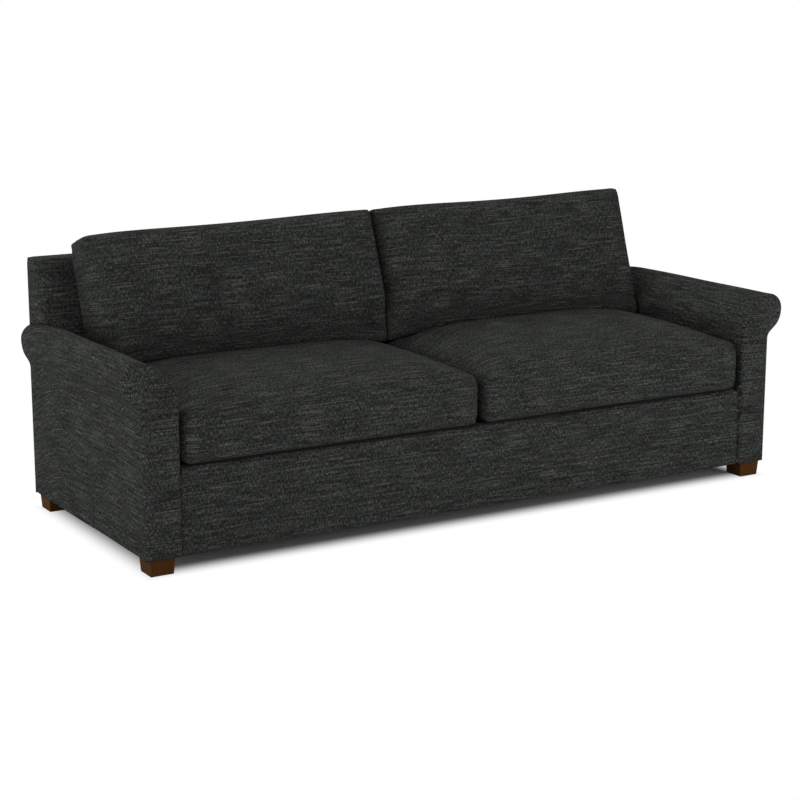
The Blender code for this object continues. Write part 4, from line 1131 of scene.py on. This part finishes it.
def makeBackCushion(side):
    # A box with rounded edges in (across, up, forward), crowned in front, then leant on the
    # inside back: sheared along it at the foot and square to it at the top. Below the belly
    # the front turns back by a parabola and then a slope. The height follows a curve through
    # the top line's heights.
    own = back[side]
    sign = 1 if side == "right" else -1
    low, high = sorted((sign * own["outer"], sign * back["inner"]))
    half = ((high - low) / 2, back["height"] / 2, back["thickness"] / 2)
    box = Box(half, back["step"], own["weaveFrom"], seam["beside"], True)
    u, v, w = box.unit.T
    ends = np.where((u * sign > 0)[:, None], own["outerEnd"], own["innerEnd"]).T
    inFront, upper = w > 0, v > 0
    forward = np.where(inFront, ends[1], back["rearEdge"])
    atEnd = np.clip(u * sign, 0, 1) ** back["endPower"]
    topEdge = own["topEdge"] + (own["endEdge"] - own["topEdge"]) * atEnd
    edgeUp = np.where(upper, topEdge, np.where(inFront, back["lowEdge"], back["rearEdge"]))
    edgeOut = np.where(upper, topEdge, np.where(inFront, back["frontEdge"], back["rearEdge"]))
    endAcross = np.where(inFront, ends[0], back["rearEdge"])
    corner = np.where(upper, ends[2], back["lowCorner"])
    points = box.rounded(((0, 2), (endAcross, forward)), ((1, 2), (edgeUp, edgeOut)),
                         ((0, 1), (corner * back["cornerWide"], corner)))
    u, v, w = (points / box.half).T
    points[:, 0] += wallSwell(u, v, w, back, back["wallPower"])
    face, outerEnd = crownShare(w), np.clip(u * sign, 0, 1) ** back["turnPower"]
    below = np.clip(back["belly"] - v, 0, None)
    blend = back["bellyBlend"]
    turned = back["bellySlope"] * np.where(below < blend, below ** 2 / (2 * blend),
                                           below - blend / 2)
    turned *= 1 - (1 - back["endTurn"]) * outerEnd
    power = back["crownPower"]
    crown = back["crown"] * (1 - np.abs(u) ** power[0]) * (1 - np.clip(v, 0, 1) ** power[1])
    points[:, 2] += face * (crown - turned)
    across = points[:, 0] + (high + low) / 2
    across += sign * own["flare"] * v * outerEnd
    share = (points[:, 1] + half[1]) / (2 * half[1])
    reach = points[:, 2] + half[2]
    reach *= 1 - (1 - back["topThickness"] / back["thickness"]) * share
    curve = np.polyfit(own["topAt"], own["topZ"], back["lineDegree"])
    line = np.polyval(curve, np.clip(u, -1, 1))
    tilt = math.tan(body["lean"])
    plain = (back["foot"] + back["height"] + back["topThickness"] * tilt
             - back["edgeDrop"] * own["topEdge"])
    stretch = (line - back["foot"]) / (plain - back["foot"])
    height = back["foot"] + (points[:, 1] + half[1]) * stretch
    placed = np.stack([across, backY(height) - body["gap"] - reach,
                       height + reach * tilt * share * stretch], 1)
    # the lower half sinks on to the seat, more the nearer to its foot, but not at the rear
    sag = back["foot"] - seatLimit(placed[:, 0], placed[:, 1]) - body["gap"]
    inFront = smoothStep(reach / back["thickness"] * 2 - 0.4)
    placed[:, 1] += sway(placed, back, sign) * face
    placed[:, 2] -= np.clip(sag, 0, None) * smoothStep(-v * 2 - 1) * inFront
    piece = box.piece(side + "_back_cushion_upholstery", placed)
    plump(piece, (box.lattice[:, 2] == 0) | (box.lattice[:, 1] == 0))
    keepClear(piece, (low - own["flare"], body["front"], 0.0),
              (high + own["flare"], body["rear"], 1.0))
    restOnSeat(piece)
    return piece


def restOnSeat(piece):
    # Presses a back cushion's underside up to the seat's top where it would pass into it.
    points = getPoints(piece.data)
    floor = seatLimit(points[:, 0], points[:, 1]) + body["gap"]
    overSeat = points[:, 1] < seat["rear"]
    points[:, 2] = np.where(overSeat, np.maximum(points[:, 2], floor), points[:, 2])
    setPoints(piece.data, points)


for side in ("left", "right"):
    for kind, make, own in (("seat", makeSeatCushion, seat), ("back", makeBackCushion, back)):
        cushion = make(side)
        subdivide(cushion)
        name = side + "_" + kind + "_cushion"
        declareUpholstery(cushion, name, own["fill"], name + "_cover", name + "_core")
print("cushions made")


# Back, front rail and outside back

backFrame = {
    "half": 1.1445,
    "topEdge": 0.006,
    "sideEdge": 0.004,
    "rear": 0.4486,
    "sharp": 0.0005,        # radius of the edges that don't show
    "wall": 0.0045,
    "unevenness": 0.0006,
    "swayPitch": 0.6,
    "seed": 1.3,
    "step": (0.020, 0.012, 0.020),
    "weaveFrom": (0.23, 0.47),
    "cutFrom": 0.05,        # where the arms' cutters start, and how far they pass the rear
    "cutPast": 0.05,
    "cutRows": 30,
    "clearance": 0.0006,
}


def armCutter(side):
    # The arm's outline closed along its bottom and carried along y, slightly larger, to keep
    # the back's cover clear of the arm.
    y = np.linspace(backFrame["cutFrom"], body["rear"] + backFrame["cutPast"],
                    backFrame["cutRows"])
    sections = moveOut(armSections(np.minimum(y, body["rear"]), side), backFrame["clearance"])
    points = placeSections(sections, y, 1 if side == "right" else -1)
    count = sections.shape[1]
    ring = np.arange(len(y) * count).reshape(len(y), count)
    after = np.roll(ring, -1, 1)
    quads = np.stack([ring[:-1], after[:-1], after[1:], ring[1:]], -1).reshape(-1, 4)
    mesh = bpy.data.meshes.new("armCutter")
    faces = quads.tolist() + [ring[0].tolist(), ring[-1].tolist()]
    mesh.from_pydata(points.reshape(-1, 3).tolist(), [], faces)
    cutter = bpy.data.objects.new("armCutter", mesh)
    scene.collection.objects.link(cutter)
    weldAndTurnOut(cutter)
    return cutter


def makeBackUpholstery():
    # A rounded box whose front is sheared to the inside back's lean, without its rear and
    # bottom sides, given a wall, and cut clear of the arms.
    foot = body["seatFoot"]
    half = (backFrame["half"], body["backTop"] / 2, (body["backHeight"] - foot) / 2)
    box = Box(half, backFrame["step"], backFrame["weaveFrom"])
    rear, low, sharp = box.unit[:, 1] > 0, box.unit[:, 2] < 0, backFrame["sharp"]
    sideEdge = np.where(rear, sharp, backFrame["sideEdge"])
    topEdge = np.where(rear | low, sharp, backFrame["topEdge"])
    corner = np.where(low, sharp, backFrame["sideEdge"])
    points = box.rounded(((0, 1), (sideEdge, sideEdge)), ((1, 2), (topEdge, topEdge)),
                         ((0, 2), (corner, corner)))
    z = points[:, 2] + (foot + body["backHeight"]) / 2
    share = (points[:, 1] + half[1]) / (2 * half[1])
    front = backY(z)
    placed = np.stack([points[:, 0], front + share * (backFrame["rear"] - front), z], 1)
    placed[:, 1] += sway(placed, backFrame, backFrame["seed"]) * (1 - share)
    axis, end = box.sides.T
    keep = ~(((axis == 1) & (end == 1)) | ((axis == 2) & (end == 0)))
    piece = box.piece("back_upholstery", placed, keep)
    thicken(piece, backFrame["wall"])
    cutters = [armCutter(side) for side in ("left", "right")]
    for cutter in cutters:
        cut = piece.modifiers.new("clear of the arm", "BOOLEAN")
        cut.operation = "DIFFERENCE"
        cut.solver = "EXACT"
        cut.object = cutter
    applyModifiers(piece)
    for cutter in cutters:
        bpy.data.objects.remove(cutter)
    declareUpholstery(piece, "root", 0.9, "back_cover", "back_pad")


outsideBack = {
    "halfThick": 0.0021,
    "corner": 0.010,
    "edge": 0.0018,
    "step": (0.021, 0.0021, 0.020),
    "weaveFrom": (1.9, 0.3),
}


def makeOutsideBack():
    # A thin rounded box over the rear, pulled tight.
    half = (backFrame["half"], outsideBack["halfThick"],
            (body["backHeight"] - body["bottom"]) / 2)
    box = Box(half, outsideBack["step"], outsideBack["weaveFrom"])
    corners, edges = [outsideBack["corner"]] * 2, [outsideBack["edge"]] * 2
    points = box.rounded(((0, 2), corners), ((0, 1), edges), ((1, 2), edges))
    points += np.array([0.0, body["rear"] - half[1], (body["backHeight"] + body["bottom"]) / 2])
    piece = box.piece("outside_back_upholstery", points)
    declareUpholstery(piece, "root", 1.0, "outside_back_panel")


rail = {
    "face": -0.4401,
    "top": 0.3100,
    "edge": 0.018,
    "endDrop": 0.006,       # how far the top edge falls at its two ends
    "lowEdge": 0.006,
    "under": 0.016,
    "flange": 0.0315,       # its way back under the deck's lining
    "half": 1.0364,
    "closer": 0.3,          # how much closer together its rows lie at the ends
    "wall": 0.0045,
    "unevenness": 0.0007,
    "swayPitch": 0.5,
    "calm": 0.04,           # the unevenness dies out over this way to the edges
    "seed": 4.2,
    "weaveFrom": 3.3,
    # how many points lie along each stretch of the profile, and along the rail
    "points": {"flat": 4, "lowEdge": 6, "face": 24, "edge": 9, "length": 150},
}


def makeFrontRail():
    # A profile (y, z) carried along x: a little way under, round the lower edge, up the face,
    # round the top edge, and back under the lining. Its top falls by a quarter circle at
    # its ends.
    face, top, low = rail["face"], rail["top"], body["bottom"]
    edge, lowEdge, count = rail["edge"], rail["lowEdge"], rail["points"]
    y = face + lowEdge + np.linspace(rail["under"], 0, count["flat"])[:-1]
    under = np.stack([y, np.full_like(y, low)], 1)
    a = np.linspace(math.pi / 2, 0, count["lowEdge"])
    lower = arc((face + lowEdge, low + lowEdge), (-lowEdge, -lowEdge), a)
    z = np.linspace(low + lowEdge, top - edge, count["face"])[1:-1]
    upright = np.stack([np.full_like(z, face), z], 1)
    a = np.linspace(0, math.pi / 2, count["edge"])
    upper = arc((face + edge, top - edge), (-edge, edge), a)
    y = face + edge + np.linspace(0, rail["flange"] - edge, count["flat"])[1:]
    flange = np.stack([y, np.full_like(y, top)], 1)
    profile = np.concatenate([under, lower, upright, upper, flange])
    closer, rows = rail["closer"], count["length"]
    x = rail["half"] * ((1 - closer) * np.linspace(-1, 1, rows)
                        + closer * (2 * edgeSpread(rows) - 1))
    x, y = np.meshgrid(x, profile[:, 0], indexing="ij")
    z = np.broadcast_to(profile[:, 1], x.shape)
    onFace = smoothStep((z - low) / rail["calm"]) * smoothStep((top - z) / rail["calm"])
    drop = rail["endDrop"]
    end = np.clip((np.abs(x) - rail["half"] + drop) / drop, 0, 1)
    fallen = z - (1 - np.sqrt(1 - end ** 2)) * drop * (z > (low + top) / 2)
    points = np.stack([x, y, fallen], -1)
    points[..., 1] += sway(points, rail, rail["seed"]) * onFace
    girth = np.broadcast_to(lengthAlong(profile), x.shape)
    flat = np.stack([x + rail["weaveFrom"], girth], -1)
    piece = gridPiece("front_rail_upholstery", points, flat, materials["fabric"])
    weldAndTurnOut(piece, openSheet=True)
    thicken(piece, rail["wall"])
    applyModifiers(piece)
    declareUpholstery(piece, "root", 0.9, "front_rail_cover", "front_edge_roll")


makeBackUpholstery()
makeOutsideBack()
makeFrontRail()
print("back and front rail made")


# Deck under the seat cushions, and the dust cover

deck = {
    "half": 1.0362,
    "front": -0.4276,
    "padFront": -0.4190,
    "rear": 0.2211,
    "padLow": 0.2934,
    "padTop": 0.3098,
    "padEdge": 0.005,
    "cloth": 0.3114,
    "thickness": 0.0008,
    "step": (0.03, 0.03, 0.006),
    "unevenness": 0.0001,
    "swayPitch": 0.5,
    "seed": 0.7,
    "points": (90, 30),     # of the lining, across and along
}


def makeDeck():
    # A fibre pad, a box with rounded edges, and the lining cloth stretched over it.
    half = (deck["half"], (deck["rear"] - deck["padFront"]) / 2,
            (deck["padTop"] - deck["padLow"]) / 2)
    box = Box(half, deck["step"], (0.0, 0.0))
    edges = (deck["padEdge"], deck["padEdge"])
    points = box.rounded(((0, 1), edges), ((1, 2), edges), ((0, 2), edges))
    points += np.array([0.0, (deck["rear"] + deck["padFront"]) / 2,
                        (deck["padTop"] + deck["padLow"]) / 2])
    pad = box.piece("deck_fibre_pad", points)
    pad.data.materials[0] = materials["fibre"]
    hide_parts("deck_pad")
    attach(pad, "root")
    xs = np.linspace(-deck["half"], deck["half"], deck["points"][0])
    ys = np.linspace(deck["front"], deck["rear"], deck["points"][1])
    sheet = makeSheet("deck_lining", xs, ys, deck["cloth"])
    points = getPoints(sheet.data)
    points[:, 2] += sway(points, deck, deck["seed"])
    setPoints(sheet.data, points)
    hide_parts("deck_cloth")
    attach(sheet, "root")


def makeSheet(name, xs, ys, top, leftOut=None):
    # A level sheet of lining over the grid of xs and ys with its upper side at top. leftOut
    # says which of its cells, by their middles, are cut away.
    x, y = np.meshgrid(xs, ys, indexing="ij")
    points = np.stack([x, y, np.full_like(x, top)], -1)
    quads = gridQuads(len(xs), len(ys))
    flatPoints = points.reshape(-1, 3)
    middle = flatPoints[quads].mean(1)
    if leftOut is not None:
        quads = quads[~leftOut(middle[:, 0], middle[:, 1])]
    used, quads = np.unique(quads, return_inverse=True)
    flatPoints, quads = flatPoints[used], quads.reshape(-1, 4)
    sheet = meshFrom(name, flatPoints, quads, flatPoints[quads][..., :2], materials["lining"])
    thicken(sheet, deck["thickness"])
    applyModifiers(sheet)
    return sheet


dust = {
    "half": 1.120,
    "front": -0.4175,
    "rear": 0.4380,
    "legX": 1.0585,         # the cut-outs round the legs start here
    "legY": 0.3605,
    "top": 0.0499,
    "sag": 0.0012,
    "points": (60, 22),     # between the legs, across and along
}


def makeDustCover():
    # Lining stapled under the frame, cut out round the legs; it sags by crossed half sines.
    def atLeg(x, y):
        return (np.abs(x) > dust["legX"]) & (np.abs(y) > dust["legY"])

    half, legX, legY = dust["half"], dust["legX"], dust["legY"]
    across, along = dust["points"]
    xs = np.concatenate([[-half], np.linspace(-legX, legX, across), [half]])
    ys = np.concatenate([[dust["front"]], np.linspace(-legY, legY, along), [dust["rear"]]])
    sheet = makeSheet("dust_cover_lining", xs, ys, dust["top"], atLeg)
    points = getPoints(sheet.data)
    sagX = np.cos(np.clip(points[:, 0] / half, -1, 1) * math.pi / 2)
    sagY = np.cos(np.clip(points[:, 1] / dust["rear"], -1, 1) * math.pi / 2)
    points[:, 2] -= dust["sag"] * sagX * sagY
    setPoints(sheet.data, points)
    cut = 2 * (half - legX) * (dust["rear"] - dust["front"] - 2 * legY)
    size = (2 * half, dust["rear"] - dust["front"])
    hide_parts("dust_cover")
    size[0] * size[1] - cut
    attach(sheet, "root")


makeDeck()
makeDustCover()
print("deck and dust cover made")


# Floor, backdrop and light

light = {
    "world": 0.57,
    "floorTone": 0.80,      # for the light that it throws back
    # the camera's floor tone: painted shade that darkens the lamps' real shadow under and round
    # the sofa
    "paintedShadeTone": 0.42,      # for the camera
    # the seen floor, with its painted shade, turns to plain white over this way out from the
    # sofa's outline
    "whiteFrom": -0.10,
    "whiteTo": 0.02,
    "half": 14.0,
    "aim": (0.0, -0.2, 0.4),
    "left": {"place": (-5.0, -0.5, 1.2), "size": 3.0, "power": 84.0},
    "front": {"place": (1.5, -4.0, 0.95), "size": 1.8, "power": 57.0},
    "top": {"place": (0.0, 2.5, 4.0), "size": 3.0, "power": 100.0},
}


def makeFloor():
    # A pale floor. For the camera alone it is darker in a band under and round the sofa, a
    # painted shade over the lamps' real shadow there, and it turns to plain white outside that
    # band, by how far a point lies outside the sofa's rectangle.
    t = Tree("paleFloorWithPaintedShade", {"Roughness": 1.0, "Specular IOR Level": 0.0})
    seen = Val(t, t.add("ShaderNodeLightPath").outputs["Is Camera Ray"])
    # the camera sees a lower tone than the light thrown back: painted shade under and round the
    # sofa
    tone = light["floorTone"] + seen * (light["paintedShadeTone"] - light["floorTone"])
    t.put(t.shader.inputs["Base Color"], t.scaled((1.0, 1.0, 1.0), tone))
    x, y, _ = t.split(t.place())
    outside = (x.size() - body["halfWidth"]).most(y.size() - body["rear"])
    # the painted shade fades to plain white by the distance out from the sofa's outline
    white = outside.ramp(light["whiteFrom"], light["whiteTo"]) * seen
    plain = t.add("ShaderNodeEmission")
    mixed = t.add("ShaderNodeMixShader", {}, {0: white, 1: t.shader.outputs[0],
                                              2: plain.outputs[0]})
    t.put(t.nodes["Material Output"].inputs["Surface"], mixed.outputs[0])
    half = light["half"]
    mesh = bpy.data.meshes.new("floor")
    mesh.from_pydata([(-half, -half, 0), (half, -half, 0), (half, half, 0), (-half, half, 0)],
                     [], [(0, 1, 2, 3)])
    mesh.materials.append(t.material)
    floor = bpy.data.objects.new("floor", mesh)
    scene.collection.objects.link(floor)


def makeWorld():
    # White to the camera, to gloss and through glass, and a little under that for its light.
    world = bpy.data.worlds.new("studio")
    scene.world = world
    world.use_nodes = True
    nodes, links = world.node_tree.nodes, world.node_tree.links
    nodes["Background"].inputs["Color"].default_value = (1.0, 1.0, 1.0, 1.0)
    path = nodes.new("ShaderNodeLightPath")
    shown = path.outputs["Is Camera Ray"]
    for ray in ("Is Glossy Ray", "Is Transmission Ray"):
        either = nodes.new("ShaderNodeMath")
        either.operation = "MAXIMUM"
        links.new(shown, either.inputs[0])
        links.new(path.outputs[ray], either.inputs[1])
        shown = either.outputs[0]
    strength = nodes.new("ShaderNodeMapRange")
    strength.inputs["To Min"].default_value = light["world"]
    strength.inputs["To Max"].default_value = 1.0
    links.new(shown, strength.inputs["Value"])
    links.new(strength.outputs[0], nodes["Background"].inputs["Strength"])


def makeLamp(name):
    # A soft disk lamp turned to the shared aim.
    own = light[name]
    data = bpy.data.lights.new(name, "AREA")
    data.shape = "DISK"
    data.size = own["size"]
    data.energy = own["power"]
    lamp = bpy.data.objects.new(name, data)
    place, aim = Vector(own["place"]), Vector(light["aim"])
    lamp.matrix_world = (Matrix.Translation(place)
                         @ (aim - place).to_track_quat("-Z", "Y").to_matrix().to_4x4())
    scene.collection.objects.link(lamp)


makeFloor()
makeWorld()
for name in ("left", "front", "top"):
    makeLamp(name)
print("stage and light made")
